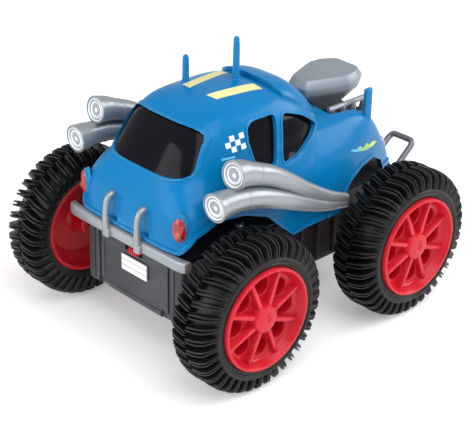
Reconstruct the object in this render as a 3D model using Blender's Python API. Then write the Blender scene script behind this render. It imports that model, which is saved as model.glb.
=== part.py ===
"""Radio-controlled stunt car: a coupe shell on a gearbox chassis with four large studded wheels.

Shapes are drawn in millimetres and turned into metres when each object is made. The nose points
to -Y, the car's right side is at -X and the tyres stand on Z = 0.
"""

import math

import bmesh
import bpy
from mathutils import Matrix, Vector

MM = 0.001
GAP = 0.3

# Driving dimensions
TYRE_RADIUS = 40.0
REAR_AXLE_Y = 72.0
FRONT_AXLE_Y = -36.0
AXLE_Z = TYRE_RADIUS
AXLE_RADIUS = 1.5
WALL = 1.8

# Chassis
CHASSIS_HALF_WIDTH = 33.0
CHASSIS_FRONT_Y = -72.0
CHASSIS_REAR_Y = 35.6
CHASSIS_FLOOR_Z = 24.0
HOUSING_HALF_WIDTH = 35.4
HOUSING_FRONT_Y = 36.0
HOUSING_REAR_Y = 88.6
HOUSING_FLOOR_Z = 22.7
DECK_Z = 56.0
DECK_THICKNESS = 2.0
DECK_REAR_Y = 86.0
NOSE_TAPER_Y = -50.0
NOSE_HALF_WIDTH = 24.0

# Drive train: spur gears of one module on each side of the car
MODULE = 0.6
PINION_TEETH = 10
IDLER_LARGE_TEETH = 30
IDLER_SMALL_TEETH = 10
AXLE_GEAR_TEETH = 32
IDLER_SHAFT_RADIUS = 1.0
IDLER_LIFT = 3.84
MOTOR_DROP = 2.18
MOTOR_RADIUS = 10.0
MOTOR_LENGTH = 25.0

# Battery bay
CELL_RADIUS = 7.1
CELL_LENGTH = 50.0
CELL_PITCH = 15.0
CELL_FIRST_Y = 26.0
CELL_Z = 33.4
DOOR_HALF_WIDTH = 28.0
DOOR_FRONT_Y = -31.5
DOOR_REAR_Y = 33.4

# Trim
BUMPER_Z = 61.0
BUMPER_HALF_WIDTH = 43.3
OVERRIDER_X = 11.7
PUSH_BAR_RADIUS = 1.8
PUSH_BAR_TIP_Y = -110.2
POST_RADIUS = 1.8
KNOB_TRAVEL = 1.5
HEADLIGHT_PLACE = (14.5, -70.6, 66.5)
TAIL_LIGHT_PLACE = (34.9, 89.7, 77.2)
TAIL_LIGHT_HALF_WIDTH = 3.6
TAIL_LIGHT_HALF_HEIGHT = 6.5
TAIL_LIGHT_TURN = math.radians(28.0)

# Cabin plan at rising heights: height, half width, rear end and front end
CABIN_CENTRE_Y = 36.0
CABIN_LEVELS = (
    (48.0, 43.0, 92.0, -10.0),
    (64.0, 43.2, 92.6, -11.0),
    (78.0, 41.6, 91.4, -14.0),
    (88.0, 38.2, 88.2, -17.5),
    (95.0, 34.8, 85.0, -19.5),
    (103.0, 32.4, 80.0, -17.0),
    (111.0, 29.8, 74.5, -8.5),
    (117.0, 26.8, 68.5, 1.0),
    (121.0, 22.4, 61.5, 9.5),
    (123.4, 15.0, 53.0, 17.0),
    (124.6, 6.0, 44.0, 27.0),
)

# The visor's dome in front of the roof, in the same terms
VISOR_LEVELS = (
    (88.0, 33.0, 60.0, -22.0),
    (100.0, 32.0, 60.0, -22.0),
    (104.0, 30.0, 60.0, -18.5),
    (111.0, 27.5, 60.0, -13.0),
    (117.0, 25.5, 60.0, -7.0),
    (121.0, 22.5, 60.0, -2.0),
    (123.6, 17.5, 52.0, 4.0),
    (124.8, 9.0, 42.0, 13.0),
)
VISOR_THICKNESS = 2.2
VISOR_FOOT_Z = 97.5

# Hood sections from the cabin to the nose: place, top height, shoulder and foot half widths
HOOD_SECTIONS = (
    (24.0, 99.5, 31.0, 42.4),
    (0.0, 99.5, 31.0, 42.4),
    (-20.0, 98.8, 30.5, 41.0),
    (-40.0, 97.5, 29.0, 36.0),
    (-52.0, 92.5, 27.0, 32.0),
    (-60.0, 84.0, 25.5, 29.0),
    (-66.0, 74.0, 24.0, 26.5),
    (-70.0, 63.0, 22.0, 24.0),
)
HOOD_FOOT_Z = 54.0

# How square the cabin's plan is at its rear, low down and from the windows up, and at its front
LOW_REAR_POWER = 7.0
HIGH_REAR_POWER = 3.9
FRONT_POWER = 3.4
LOW_REAR_Z = 80.0
HIGH_REAR_Z = 95.0

# Lower edge of the shell seen from the side, from the tail to the nose, as place and height
SKIRT_EDGE = (
    (97.0, 64.5), (91.0, 64.5), (84.0, 73.0), (71.0, 78.0), (55.0, 76.0), (40.0, 70.5),
    (31.0, 62.0), (22.0, 54.5), (-13.0, 54.5), (-17.0, 61.5), (-24.0, 67.5), (-35.0, 71.5),
    (-47.0, 72.0), (-56.0, 67.0), (-60.0, 60.0), (-80.0, 60.0),
)

QUARTER_WINDOW = ((42.8, 107.0), (41.8, 113.0), (38.0, 115.4), (21.8, 115.2), (27.4, 92.0),
                  (38.4, 93.6), (40.8, 97.0))
FRONT_WINDOW = ((17.8, 114.4), (3.0, 108.8), (-8.0, 101.0), (-1.0, 97.0), (12.0, 92.2),
                (23.6, 90.4))
SIDE_PANE = ((45.0, 104.0), (43.5, 114.0), (39.0, 117.5), (17.0, 117.5), (1.5, 111.5),
             (-11.5, 102.0), (-1.0, 94.5), (22.0, 88.0), (40.0, 90.5))
REAR_WINDOW = ((-29.2, 96.0), (29.2, 96.0), (24.8, 117.4), (-24.8, 117.4))
WINDSCREEN = ((-22.5, 13.0), (-24.5, -2.0), (-20.5, -14.0), (-12.0, -21.5), (12.0, -21.5),
              (20.5, -14.0), (24.5, -2.0), (22.5, 13.0))

# Roof posts: name, place across, place along, foot height and top height
ROOF_POSTS = (
    ("roof_post_left", 16.0, 40.6, 119.0, 137.2),
    ("roof_post_front_left", 3.1, 18.7, 119.0, 145.0),
    ("roof_post_front_right", -0.3, 21.9, 119.0, 145.0),
)
# Hood post: an upright fin on the right fender, as the middle, half sizes, foot and top
HOOD_POST_PLACE = (-25.3, -49.0)
HOOD_POST_HALF_SIZE = (1.3, 2.4)
HOOD_POST_Z = (84.0, 107.8)

# Engine and air scoop, whose plan shrinks by a share at each height
ENGINE_HALF_WIDTH = 13.0
ENGINE_Y = (-60.0, -28.0)
ENGINE_TOP_Z = 90.0
FIN_GAPS = 5
FIN_PITCH = 5.5
HEADER_Z = 99.6
HEADER_X = 18.5
HEADER_STUBS = 4
HEADER_STUB_PITCH = 8.0
SCOOP_CENTRE_Y = -40.5
SCOOP_HALF_PLAN = ((-19.0, 0.0), (-21.5, 7.0), (-45.0, 15.4), (-54.0, 14.6), (-62.5, 9.0))
SCOOP_LEVELS = (
    (92.0, 0.42), (95.5, 0.52), (101.0, 0.8), (104.0, 0.95), (108.0, 1.0), (112.2, 0.86),
)

# Exhausts: middle line of each left pipe from its front end to its tip, and its radii
EXHAUST_UPPER = (
    (46.2, -12.0, 64.8), (47.6, 2.0, 70.8), (49.6, 20.0, 80.8), (50.6, 36.0, 91.2),
    (50.4, 48.0, 98.0), (50.2, 58.0, 101.8), (50.0, 65.5, 104.2), (50.2, 70.5, 104.9),
)
EXHAUST_LOWER = (
    (46.2, -12.0, 62.2), (48.6, 6.0, 67.6), (50.8, 24.0, 75.6), (52.0, 40.0, 83.2),
    (52.0, 55.0, 89.2), (51.4, 67.0, 91.8), (50.9, 77.0, 92.6), (51.1, 83.0, 92.4),
)
EXHAUST_RADII = (2.6, 3.2, 4.1, 4.8, 5.3, 5.7, 6.9, 7.3)
EXHAUST_BORE_RADIUS = 5.6
EXHAUST_BORE_DEPTH = 4.0

# Push bar: half of its middle line, from its foot on the left to the middle
PUSH_BAR_HALF = (
    (8.2, CHASSIS_FRONT_Y - GAP, 34.0), (8.2, -86.0, 36.0), (8.2, -97.0, 42.5),
    (8.2, -108.0, 51.5), (6.6, PUSH_BAR_TIP_Y, 53.4),
)
# Lamp domes, as depth and share of the full size
HEADLIGHT_DOME = ((0.0, 4.0), (2.2, 4.0), (3.4, 3.0), (3.9, 1.4))
TAIL_LIGHT_DOME = ((0.0, 1.0), (1.4, 1.0), (2.3, 0.72), (2.6, 0.3))
# Bumper: bends as place across and along, and its section
BUMPER_BENDS = (
    (-BUMPER_HALF_WIDTH, 91.8), (-38.0, 93.0), (38.0, 93.0), (BUMPER_HALF_WIDTH, 91.8),
)
BUMPER_SECTION = (
    (-2.2, -2.0), (-1.4, -3.0), (1.4, -3.0), (2.4, -2.0), (2.4, 2.0), (1.4, 3.0), (-1.4, 3.0),
    (-2.2, 2.0),
)
# Overrider: place along, height and radius
OVERRIDER = ((95.6, 59.0, 2.0), (96.2, 66.0, 1.7), (96.0, 74.0, 1.6), (95.0, 78.0, 1.6), (93.6, 79.4, 1.4))

# Deck screws, seen from above
SCREW_PLACES = ((-27.0, -20.0), (27.0, -20.0), (-24.0, 40.5), (24.0, 40.5))

# Turned profiles of a left wheel, as place across and radius
TYRE_PROFILE = (
    (54.0, 26.7), (52.0, 33.5), (53.5, 38.0), (57.0, 40.0), (66.5, 40.0), (71.0, 37.6),
    (74.6, 32.8), (76.2, 30.0), (76.2, 26.7),
)
HUB_PROFILE = (
    (54.0, 2.2), (54.0, 5.0), (55.6, 6.2), (55.6, 23.0), (54.0, 24.4), (54.0, 26.3), (77.6, 26.3),
    (77.6, 24.8), (72.4, 22.6), (71.6, 9.0), (76.0, 7.4), (76.8, 6.4), (76.8, 0.4), (74.0, 0.4),
    (74.0, 2.2),
)
HUB_CAVITY = ((57.6, 4.4), (57.6, 24.2), (69.4, 24.2), (69.4, 4.4))
HUB_HOLES = 8
HUB_HOLE_RADIUS = 4.1
HUB_HOLE_REACH = 16.6


def clear_scene():
    for obj in list(bpy.data.objects):
        bpy.data.objects.remove(obj, do_unlink=True)


def material(name, colour, roughness, metallic=0.0):
    made = bpy.data.materials.new(name)
    made.use_nodes = True
    shader = made.node_tree.nodes["Principled BSDF"]
    shader.inputs["Base Color"].default_value = (*colour, 1.0)
    shader.inputs["Roughness"].default_value = roughness
    shader.inputs["Metallic"].default_value = metallic
    made.diffuse_color = (*colour, 1.0)
    return made


def make_object(name, bm, look, place=(0.0, 0.0, 0.0), turn=(0.0, 0.0, 0.0), smooth=True):
    """Makes an object from shapes drawn in millimetres about its own origin."""
    bmesh.ops.remove_doubles(bm, verts=bm.verts, dist=1e-4)
    bmesh.ops.recalc_face_normals(bm, faces=bm.faces)
    bmesh.ops.scale(bm, vec=(MM, MM, MM), verts=bm.verts)
    mesh = bpy.data.meshes.new(name)
    bm.to_mesh(mesh)
    bm.free()
    if smooth:
        mesh.shade_smooth()
        mesh.set_sharp_from_angle(angle=math.radians(32.0))
    mesh.materials.append(look)
    obj = bpy.data.objects.new(name, mesh)
    obj.location = [value * MM for value in place]
    obj.rotation_euler = turn
    bpy.context.scene.collection.objects.link(obj)
    return obj


def empty(name, place):
    made = bpy.data.objects.new(name, None)
    made.empty_display_size = 0.01
    made.location = [value * MM for value in place]
    bpy.context.scene.collection.objects.link(made)
    return made


def box(bm, xs, ys, zs):
    middle = Vector(((xs[0] + xs[1]) / 2, (ys[0] + ys[1]) / 2, (zs[0] + zs[1]) / 2))
    size = Matrix.Diagonal((xs[1] - xs[0], ys[1] - ys[0], zs[1] - zs[0], 1.0))
    return bmesh.ops.create_cube(bm, size=1.0, matrix=Matrix.Translation(middle) @ size)["verts"]


def boxed(xs, ys, zs, bevel=0.0):
    bm = bmesh.new()
    box(bm, xs, ys, zs)
    if bevel:
        bmesh.ops.bevel(bm, geom=bm.edges[:], offset=bevel, segments=1, affect="EDGES")
    return bm


def along(axis):
    """A turn that lays the local Z axis along a world axis."""
    return {
        "X": Matrix.Rotation(math.pi / 2, 4, "Y"),
        "Y": Matrix.Rotation(-math.pi / 2, 4, "X"),
        "Z": Matrix.Identity(4),
    }[axis]


def rod(radius, start, end, axis, centre=(0.0, 0.0), segments=20):
    """A solid rod along an axis. centre gives its two other coordinates in axis order."""
    bm = bmesh.new()
    middle = [centre[0], centre[1]]
    middle.insert("XYZ".index(axis), (start + end) / 2)
    matrix = Matrix.Translation(middle) @ along(axis)
    bmesh.ops.create_cone(
        bm, cap_ends=True, segments=segments, radius1=radius, radius2=radius,
        depth=end - start, matrix=matrix,
    )
    return bm


def bridge_rings(bm, rings, closed=False):
    """Faces between rings with the same number of points, with caps unless the rings close."""
    made = [[bm.verts.new(point) for point in ring] for ring in rings]
    pairs = list(zip(made, made[1:]))
    if closed:
        pairs.append((made[-1], made[0]))
    for first, second in pairs:
        for i, corner in enumerate(first):
            after = (i + 1) % len(first)
            bm.faces.new((corner, first[after], second[after], second[i]))
    if not closed:
        bm.faces.new(made[0])
        bm.faces.new(made[-1])


def turned(profile, segments, studs=0.0):
    """Spins a closed (x, radius) profile about X, with flats below and above.

    studs lowers the outer radius in the gaps between studs, which are one flat wide.
    """
    bm = bmesh.new()
    outer = max(radius for _, radius in profile)
    flat = 1.0 / math.cos(math.pi / segments)
    rings = []
    for step in range(segments):
        angle = 2 * math.pi * (step + 0.5) / segments
        drop = studs if step % 4 in (1, 2) else 0.0
        ring = []
        for x, radius in profile:
            share = max(0.0, (radius - 0.8 * outer) / (0.2 * outer))
            reach = (radius - drop * share) * flat
            ring.append((x, reach * math.cos(angle), reach * math.sin(angle)))
        rings.append(ring)
    bridge_rings(bm, rings, closed=True)
    return bm


def prism(outline, start, end, axis):
    """Extrudes an outline along an axis. The outline holds the two other coordinates."""
    bm = bmesh.new()
    rings = []
    for place in (start, end):
        ring = []
        for first, second in outline:
            point = [first, second]
            point.insert("XYZ".index(axis), place)
            ring.append(point)
        rings.append(ring)
    bridge_rings(bm, rings)
    return bm


def swept(path, radii, sides=12):
    """A round bar through the points of a path, with a radius at each point."""
    bm = bmesh.new()
    rings = []
    points = [Vector(point) for point in path]
    for i, point in enumerate(points):
        ahead = points[min(i + 1, len(points) - 1)]
        behind = points[max(i - 1, 0)]
        turn = (ahead - behind).to_track_quat("Z", "X").to_matrix()
        ring = []
        for side in range(sides):
            angle = 2 * math.pi * side / sides
            offset = Vector((math.cos(angle), math.sin(angle), 0.0)) * radii[i]
            ring.append(point + turn @ offset)
        rings.append(ring)
    bridge_rings(bm, rings)
    return bm


def smooth_row(rows, steps):
    """Rows of values along a Catmull-Rom curve through the given rows."""
    result = []
    for i in range(len(rows) - 1):
        around = [rows[min(max(i + shift, 0), len(rows) - 1)] for shift in (-1, 0, 1, 2)]
        for step in range(steps):
            t = step / steps
            weights = (
                (-t**3 + 2 * t**2 - t) / 2,
                (3 * t**3 - 5 * t**2 + 2) / 2,
                (-3 * t**3 + 4 * t**2 + t) / 2,
                (t**3 - t**2) / 2,
            )
            result.append(tuple(sum(w * v for w, v in zip(weights, values)) for values in zip(*around)))
    result.append(tuple(rows[-1]))
    return result


def cutter(name, bm):
    made = make_object(name, bm, bpy.data.materials["cutter"], smooth=False)
    made.hide_render = True
    made.display_type = "WIRE"
    return made


def boolean(target, name, bm, operation="DIFFERENCE"):
    tool = cutter(f"{target.name}_{name}", bm)
    modifier = target.modifiers.new(name, "BOOLEAN")
    modifier.operation = operation
    modifier.solver = "EXACT"
    modifier.object = tool
    return modifier


def applied_mesh(obj):
    """The object's mesh with its modifiers applied, for copies that share it."""
    graph = bpy.context.evaluated_depsgraph_get()
    mesh = bpy.data.meshes.new_from_object(obj.evaluated_get(graph))
    for modifier in list(obj.modifiers):
        tool = modifier.object
        obj.modifiers.remove(modifier)
        bpy.data.objects.remove(tool, do_unlink=True)
    return mesh


def rear_power(z):
    """The plan's rear corners are squarer under the windows than at the roof."""
    share = min(1.0, max(0.0, (z - LOW_REAR_Z) / (HIGH_REAR_Z - LOW_REAR_Z)))
    return LOW_REAR_POWER + share * (HIGH_REAR_POWER - LOW_REAR_POWER)


def cabin_solid(inset=0.0, floor=None, points=36, levels=CABIN_LEVELS):
    """The closed cabin form, inset from the outer surface."""
    bm = bmesh.new()
    rings = []
    low = levels[0][0]
    for z, half_width, rear, front in levels:
        height = z - inset * max(0.0, (z - 100.0) / 24.0)
        if floor is not None and z == low:
            height = floor
        ring = []
        for step in range(points):
            angle = 2 * math.pi * step / points
            side, ahead = math.cos(angle), math.sin(angle)
            power = rear_power(z) if ahead > 0 else FRONT_POWER
            reach = (rear if ahead > 0 else front) - CABIN_CENTRE_Y
            half_length = abs(reach) - inset
            x = (half_width - inset) * math.copysign(abs(side) ** (2 / power), side)
            y = CABIN_CENTRE_Y + half_length * math.copysign(abs(ahead) ** (2 / power), ahead)
            ring.append((x, y, height))
        rings.append(ring)
    bridge_rings(bm, rings)
    return bm


def hood_solid(inset=0.0, floor=HOOD_FOOT_Z):
    """The closed hood form, inset from the outer surface."""
    bm = bmesh.new()
    rings = []
    for y, top, shoulder, foot in smooth_row(HOOD_SECTIONS, 2):
        drop = inset if y < 20 else 0.0
        place = y + inset * max(0.0, (-y - 20.0) / 50.0)
        crown = top - drop
        half = (
            (0.0, crown + 0.8),
            (shoulder * 0.5, crown + 0.5),
            (shoulder * 0.85 - inset, crown - 1.0),
            (shoulder * 1.02 - inset, crown - 6.0),
            (shoulder * 0.35 + foot * 0.65 - inset, (crown + HOOD_FOOT_Z) / 2 + 3.0),
            (foot - inset, floor),
        )
        right = [(x, place, z) for x, z in half]
        left = [(-x, place, z) for x, z in reversed(half[1:])]
        rings.append(right + left)
    bridge_rings(bm, rings)
    return bm


def skirt_cutter():
    """Everything under the shell's lower edge."""
    outline = list(SKIRT_EDGE) + [(-80.0, 30.0), (97.0, 30.0)]
    return prism(outline, -60.0, 60.0, "X")


def make_shell(blue):
    shell = make_object("body_shell", cabin_solid(), blue)
    boolean(shell, "hood", hood_solid(), "UNION")
    boolean(shell, "cabin_hollow", cabin_solid(WALL, 30.0, 28))
    boolean(shell, "hood_hollow", hood_solid(WALL, 30.0))
    boolean(shell, "skirt", skirt_cutter())
    boolean(shell, "quarter_windows", prism(QUARTER_WINDOW, -50.0, 50.0, "X"))
    boolean(shell, "front_windows", prism(FRONT_WINDOW, -50.0, 50.0, "X"))
    boolean(shell, "rear_window", prism(REAR_WINDOW, 50.0, 100.0, "Y"))
    boolean(shell, "engine_bay", engine_bay())
    boolean(shell, "windscreen", prism(WINDSCREEN, 84.0, 140.0, "Z"))
    for name, x, y, _, _ in ROOF_POSTS:
        boolean(shell, f"{name}_hole", rod(POST_RADIUS + GAP, 70.0, 140.0, "Z", (x, y), 10))
    boolean(shell, "hood_post_slot", hood_post_block(GAP))


def hood_post_block(margin=0.0):
    """The hood post's fin, with a margin around it."""
    spans = []
    for middle, half in zip(HOOD_POST_PLACE, HOOD_POST_HALF_SIZE):
        spans.append((middle - half - margin, middle + half + margin))
    return boxed(*spans, (HOOD_POST_Z[0] - margin, HOOD_POST_Z[1] + margin))


def engine_bay():
    return boxed((-22.0, 22.0), (-64.0, -25.0), (77.0, 110.0))


def shrunk(outline, margin):
    """The outline moved towards its centre by a margin."""
    centre = [sum(values) / len(outline) for values in zip(*outline)]
    result = []
    for point in outline:
        away = Vector((point[0] - centre[0], point[1] - centre[1]))
        away -= away.normalized() * margin
        result.append((centre[0] + away.x, centre[1] + away.y))
    return result


def make_windscreen(blue):
    """The raised blue visor that fills the windscreen."""
    visor = make_object("windscreen_visor", cabin_solid(levels=VISOR_LEVELS), blue)
    boolean(visor, "hollow", cabin_solid(VISOR_THICKNESS, 30.0, 28, VISOR_LEVELS))
    outline = prism(shrunk(WINDSCREEN, 0.5), VISOR_FOOT_Z, 140.0, "Z")
    boolean(visor, "outline", outline, "INTERSECT")


def make_windows(smoke):
    rear = make_object("rear_window", cabin_solid(0.5), smoke)
    boolean(rear, "hollow", cabin_solid(1.7, 30.0))
    boolean(rear, "outline", prism(shrunk(REAR_WINDOW, 0.5), 50.0, 100.0, "Y"), "INTERSECT")
    for name, side in (("left", 1.0), ("right", -1.0)):
        window = make_object(f"side_window_{name}", cabin_solid(WALL + 0.4), smoke)
        boolean(window, "hollow", cabin_solid(WALL + 1.6, 30.0))
        reach = sorted((side * 24.8, side * 50.0))
        boolean(window, "outline", prism(SIDE_PANE, *reach, "X"), "INTERSECT")


def make_posts(blue):
    for name, x, y, foot, top in ROOF_POSTS:
        profile = ((foot, POST_RADIUS), (top - 1.6, POST_RADIUS * 0.8), (top - 0.4, POST_RADIUS * 0.55),
                   (top, POST_RADIUS * 0.2))
        path = [(x, y, z) for z, _ in profile]
        make_object(name, swept(path, [radius for _, radius in profile], 10), blue)
    fin = hood_post_block()
    upright = [edge for edge in fin.edges if abs(edge.verts[0].co.z - edge.verts[1].co.z) > 1.0]
    bmesh.ops.bevel(fin, geom=upright, offset=0.6, segments=1, affect="EDGES")
    make_object("hood_post", fin, blue)


def make_engine(black, silver, slate):
    """Engine block with cooling fins, header pipes on both sides and the air scoop."""
    foot = DECK_Z + DECK_THICKNESS + 2 * GAP
    block = boxed((-ENGINE_HALF_WIDTH, ENGINE_HALF_WIDTH), ENGINE_Y, (foot, ENGINE_TOP_Z), 1.0)
    engine = make_object("engine_block", block, black, smooth=False)
    for place in range(FIN_GAPS):
        y = ENGINE_Y[0] + 5.0 + FIN_PITCH * place
        gap = boxed((-20.0, 20.0), (y, y + 2.0), (ENGINE_TOP_Z - 6.0, ENGINE_TOP_Z + 2.0))
        boolean(engine, f"fin_gap_{place}", gap)
    for name, side in (("left", 1.0), ("right", -1.0)):
        x = side * HEADER_X
        rail = swept([(x, -56.0, HEADER_Z), (x, -27.0, HEADER_Z)], (1.5, 1.5), 8)
        header = make_object(f"header_{name}", rail, silver)
        for place in range(HEADER_STUBS):
            y = -53.5 + HEADER_STUB_PITCH * place
            path = [(x, y, HEADER_Z), (x - side, y, 93.0), (x - side * 3.1, y, 88.0)]
            boolean(header, f"stub_{place}", swept(path, (1.5, 1.7, 1.7), 8), "UNION")
    outline = [(x, y) for y, x in SCOOP_HALF_PLAN] + [(-x, y) for y, x in reversed(SCOOP_HALF_PLAN[1:])]
    bm = bmesh.new()
    rings = []
    for z, share in SCOOP_LEVELS:
        rings.append([(x * share, SCOOP_CENTRE_Y + (y - SCOOP_CENTRE_Y) * share, z) for x, y in outline])
    bridge_rings(bm, rings)
    make_object("air_scoop", bm, slate)


def make_exhausts(silver):
    """On each side two pipes that sweep back from one front end and flare at their tips."""
    for name, side in (("left", 1.0), ("right", -1.0)):
        lines = []
        for line in (EXHAUST_UPPER, EXHAUST_LOWER):
            lines.append([Vector((side * x, y, z)) for x, y, z in line])
        pipe = make_object(f"exhaust_{name}", swept(lines[0], EXHAUST_RADII), silver)
        boolean(pipe, "lower", swept(lines[1], EXHAUST_RADII), "UNION")
        for number, line in enumerate(lines, 1):
            outwards = (line[-1] - line[-2]).normalized() * EXHAUST_BORE_DEPTH
            bore = swept([line[-1] - outwards, line[-1] + outwards], [EXHAUST_BORE_RADIUS] * 2)
            boolean(pipe, f"bore_{number}", bore)


def make_front_trim(gunmetal, lamp):
    """The push bar loop on the nose and the two headlights."""
    path = list(PUSH_BAR_HALF) + [(-x, y, z) for x, y, z in reversed(PUSH_BAR_HALF)]
    bar = make_object("push_bar", swept(path, [PUSH_BAR_RADIUS] * len(path), 8), gunmetal)
    boolean(bar, "base", boxed((-12.0, 12.0), (-75.0, CHASSIS_FRONT_Y - GAP), (30.0, 38.0)), "UNION")
    for name, side in (("left", 1.0), ("right", -1.0)):
        bm = bmesh.new()
        rings = []
        for depth, radius in HEADLIGHT_DOME:
            ring = []
            for step in range(16):
                angle = 2 * math.pi * step / 16
                ring.append((radius * math.cos(angle), -depth, radius * math.sin(angle)))
            rings.append(ring)
        bridge_rings(bm, rings)
        make_object(f"headlight_{name}", bm, lamp, place=(side * HEADLIGHT_PLACE[0], *HEADLIGHT_PLACE[1:]))


def make_rear_trim(silver, red_lens):
    """The rear bumper with its two overriders, and the tail lights."""
    bm = bmesh.new()
    bridge_rings(bm, [[(x, y + dy, BUMPER_Z + dz) for dy, dz in BUMPER_SECTION] for x, y in BUMPER_BENDS])
    bumper = make_object("rear_bumper", bm, silver)
    for name, side in (("left", 1.0), ("right", -1.0)):
        path = [(side * OVERRIDER_X, y, z) for y, z, _ in OVERRIDER]
        bar = swept(path, [radius for _, _, radius in OVERRIDER], 8)
        boolean(bumper, f"overrider_{name}", bar, "UNION")
    for name, side in (("left", 1.0), ("right", -1.0)):
        bm = bmesh.new()
        rings = []
        for depth, share in TAIL_LIGHT_DOME:
            ring = []
            for step in range(16):
                angle = 2 * math.pi * step / 16
                across = TAIL_LIGHT_HALF_WIDTH * share * math.cos(angle)
                ring.append((across, depth, TAIL_LIGHT_HALF_HEIGHT * share * math.sin(angle)))
            rings.append(ring)
        bridge_rings(bm, rings)
        make_object(
            f"tail_light_{name}", bm, red_lens, turn=(0.0, 0.0, -side * TAIL_LIGHT_TURN),
            place=(side * TAIL_LIGHT_PLACE[0], *TAIL_LIGHT_PLACE[1:]),
        )


def tub_outline(inset, rear=CHASSIS_REAR_Y):
    """The tub's plan, with its front corners cut off to follow the nose."""
    half = (
        (CHASSIS_HALF_WIDTH - inset, rear - inset),
        (CHASSIS_HALF_WIDTH - inset, NOSE_TAPER_Y),
        (NOSE_HALF_WIDTH - inset, CHASSIS_FRONT_Y + inset),
    )
    return list(half) + [(-x, y) for x, y in reversed(half)]


def make_chassis(black, grey):
    """The battery tub in front, the rear gearbox housing and the deck that covers both."""
    floor = CHASSIS_FLOOR_Z
    tub = make_object("chassis_tub", prism(tub_outline(0.0), floor, DECK_Z, "Z"), black, smooth=False)
    boolean(tub, "inside", prism(tub_outline(WALL), floor + WALL, 70.0, "Z"))
    boolean(tub, "door_opening", boxed(
        (-DOOR_HALF_WIDTH, DOOR_HALF_WIDTH), (DOOR_FRONT_Y, DOOR_REAR_Y), (20.0, floor + 3.0)))
    boolean(tub, "axle_hole", rod(AXLE_RADIUS + GAP, -60.0, 60.0, "X", (FRONT_AXLE_Y, AXLE_Z)))

    housing = make_object("rear_housing", boxed(
        (-HOUSING_HALF_WIDTH, HOUSING_HALF_WIDTH), (HOUSING_FRONT_Y, HOUSING_REAR_Y),
        (HOUSING_FLOOR_Z, DECK_Z), 1.2,
    ), grey, smooth=False)
    inner = HOUSING_HALF_WIDTH - WALL
    boolean(housing, "inside", boxed(
        (-inner, inner), (HOUSING_FRONT_Y + WALL, HOUSING_REAR_Y - WALL - 0.6),
        (HOUSING_FLOOR_Z + WALL, 70.0)))
    boolean(housing, "axle_hole", rod(AXLE_RADIUS + GAP, -60.0, 60.0, "X", (REAR_AXLE_Y, AXLE_Z)))
    boolean(housing, "switch_slot", boxed((-6.5, 6.5), (84.0, 92.0), (50.0, 54.6)))
    for name, side in (("left", 1.0), ("right", -1.0)):
        groove = sorted((side * 25.0, side * 26.6))
        boolean(housing, f"groove_{name}", boxed(
            groove, (HOUSING_REAR_Y - 0.9, 92.0), (18.0, 53.0)))
        notch = sorted((side * 20.0, side * 27.5))
        boolean(housing, f"notch_{name}", boxed(
            notch, (HOUSING_REAR_Y - 1.6, 92.0), (18.0, 27.0)))

    deck_bottom = DECK_Z + GAP
    deck = make_object("chassis_deck", prism(
        tub_outline(0.0, DECK_REAR_Y), deck_bottom, deck_bottom + DECK_THICKNESS, "Z"), black, smooth=False)
    for number, (x, y) in enumerate(SCREW_PLACES, 1):
        boolean(deck, f"screw_hole_{number}", rod(1.3, 50.0, 62.0, "Z", (x, y), 10))


def make_screws(steel):
    """Pan head screws that hold the deck, with the slot in each head left as a dimple."""
    top = DECK_Z + GAP + DECK_THICKNESS + GAP
    for number, (x, y) in enumerate(SCREW_PLACES, 1):
        profile = ((top - 5.0, 0.4), (top - 4.0, 1.0), (top, 1.0), (top, 2.4), (top + 0.9, 2.2),
                   (top + 1.5, 1.2))
        path = [(x, y, z + 0.001 * i) for i, (z, _) in enumerate(profile)]
        make_object(f"deck_screw_{number}", swept(path, [r for _, r in profile], 10), steel)


def make_battery_bay(black, steel, cell_wrap, brass):
    """The cover under the tub, its screw, four AA cells and the contact strips."""
    door = make_object("battery_door", boxed(
        (-DOOR_HALF_WIDTH + GAP, DOOR_HALF_WIDTH - GAP), (DOOR_FRONT_Y + GAP, DOOR_REAR_Y - GAP),
        (CHASSIS_FLOOR_Z, CHASSIS_FLOOR_Z + WALL)), black, smooth=False)
    boolean(door, "screw_hole", rod(1.6, 20.0, 30.0, "Z", (0.0, DOOR_FRONT_Y + 2.9), 10))
    y = DOOR_FRONT_Y + 2.9
    path = [(0.0, y, 27.6), (0.0, y, 25.4), (0.0, y, 24.9), (0.0, y, 24.2)]
    make_object("battery_door_screw", swept(path, (0.7, 1.2, 1.3, 1.3), 10), steel)
    half = CELL_LENGTH / 2
    for number in range(4):
        y = CELL_FIRST_Y - CELL_PITCH * number
        side = 1.0 if number % 2 else -1.0
        profile = ((-half, 5.4), (-half + 0.6, CELL_RADIUS), (half - 2.0, CELL_RADIUS),
                   (half - 1.3, 5.6), (half - 1.2, 2.7), (half, 2.5))
        path = [(side * x, y, CELL_Z) for x, _ in profile]
        make_object(f"battery_{number + 1}", swept(path, [r for _, r in profile], 16), cell_wrap)
    for name, side in (("left", 1.0), ("right", -1.0)):
        xs = sorted((side * (half + GAP), side * (half + 1.1)))
        ys = (CELL_FIRST_Y - 3 * CELL_PITCH - 6.0, CELL_FIRST_Y + 5.5)
        make_object(f"contact_strip_{name}", boxed(xs, ys, (28.0, 39.0)), brass, smooth=False)


def gear_outline(teeth):
    """One trapezoid tooth after another, with a thin tooth so that meshing gears run free."""
    pitch = MODULE * teeth / 2
    outer = pitch + 0.9 * MODULE
    root = pitch - 1.2 * MODULE
    step = 2 * math.pi / teeth
    outline = []
    for tooth in range(teeth):
        middle = step * tooth
        for radius, share in ((root, -0.34), (outer, -0.11), (outer, 0.11), (root, 0.34)):
            angle = middle + share * step
            outline.append((radius * math.cos(angle), radius * math.sin(angle)))
    return outline


def turned_outline(outline, angle):
    cos, sin = math.cos(angle), math.sin(angle)
    return [(a * cos - b * sin, a * sin + b * cos) for a, b in outline]


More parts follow.
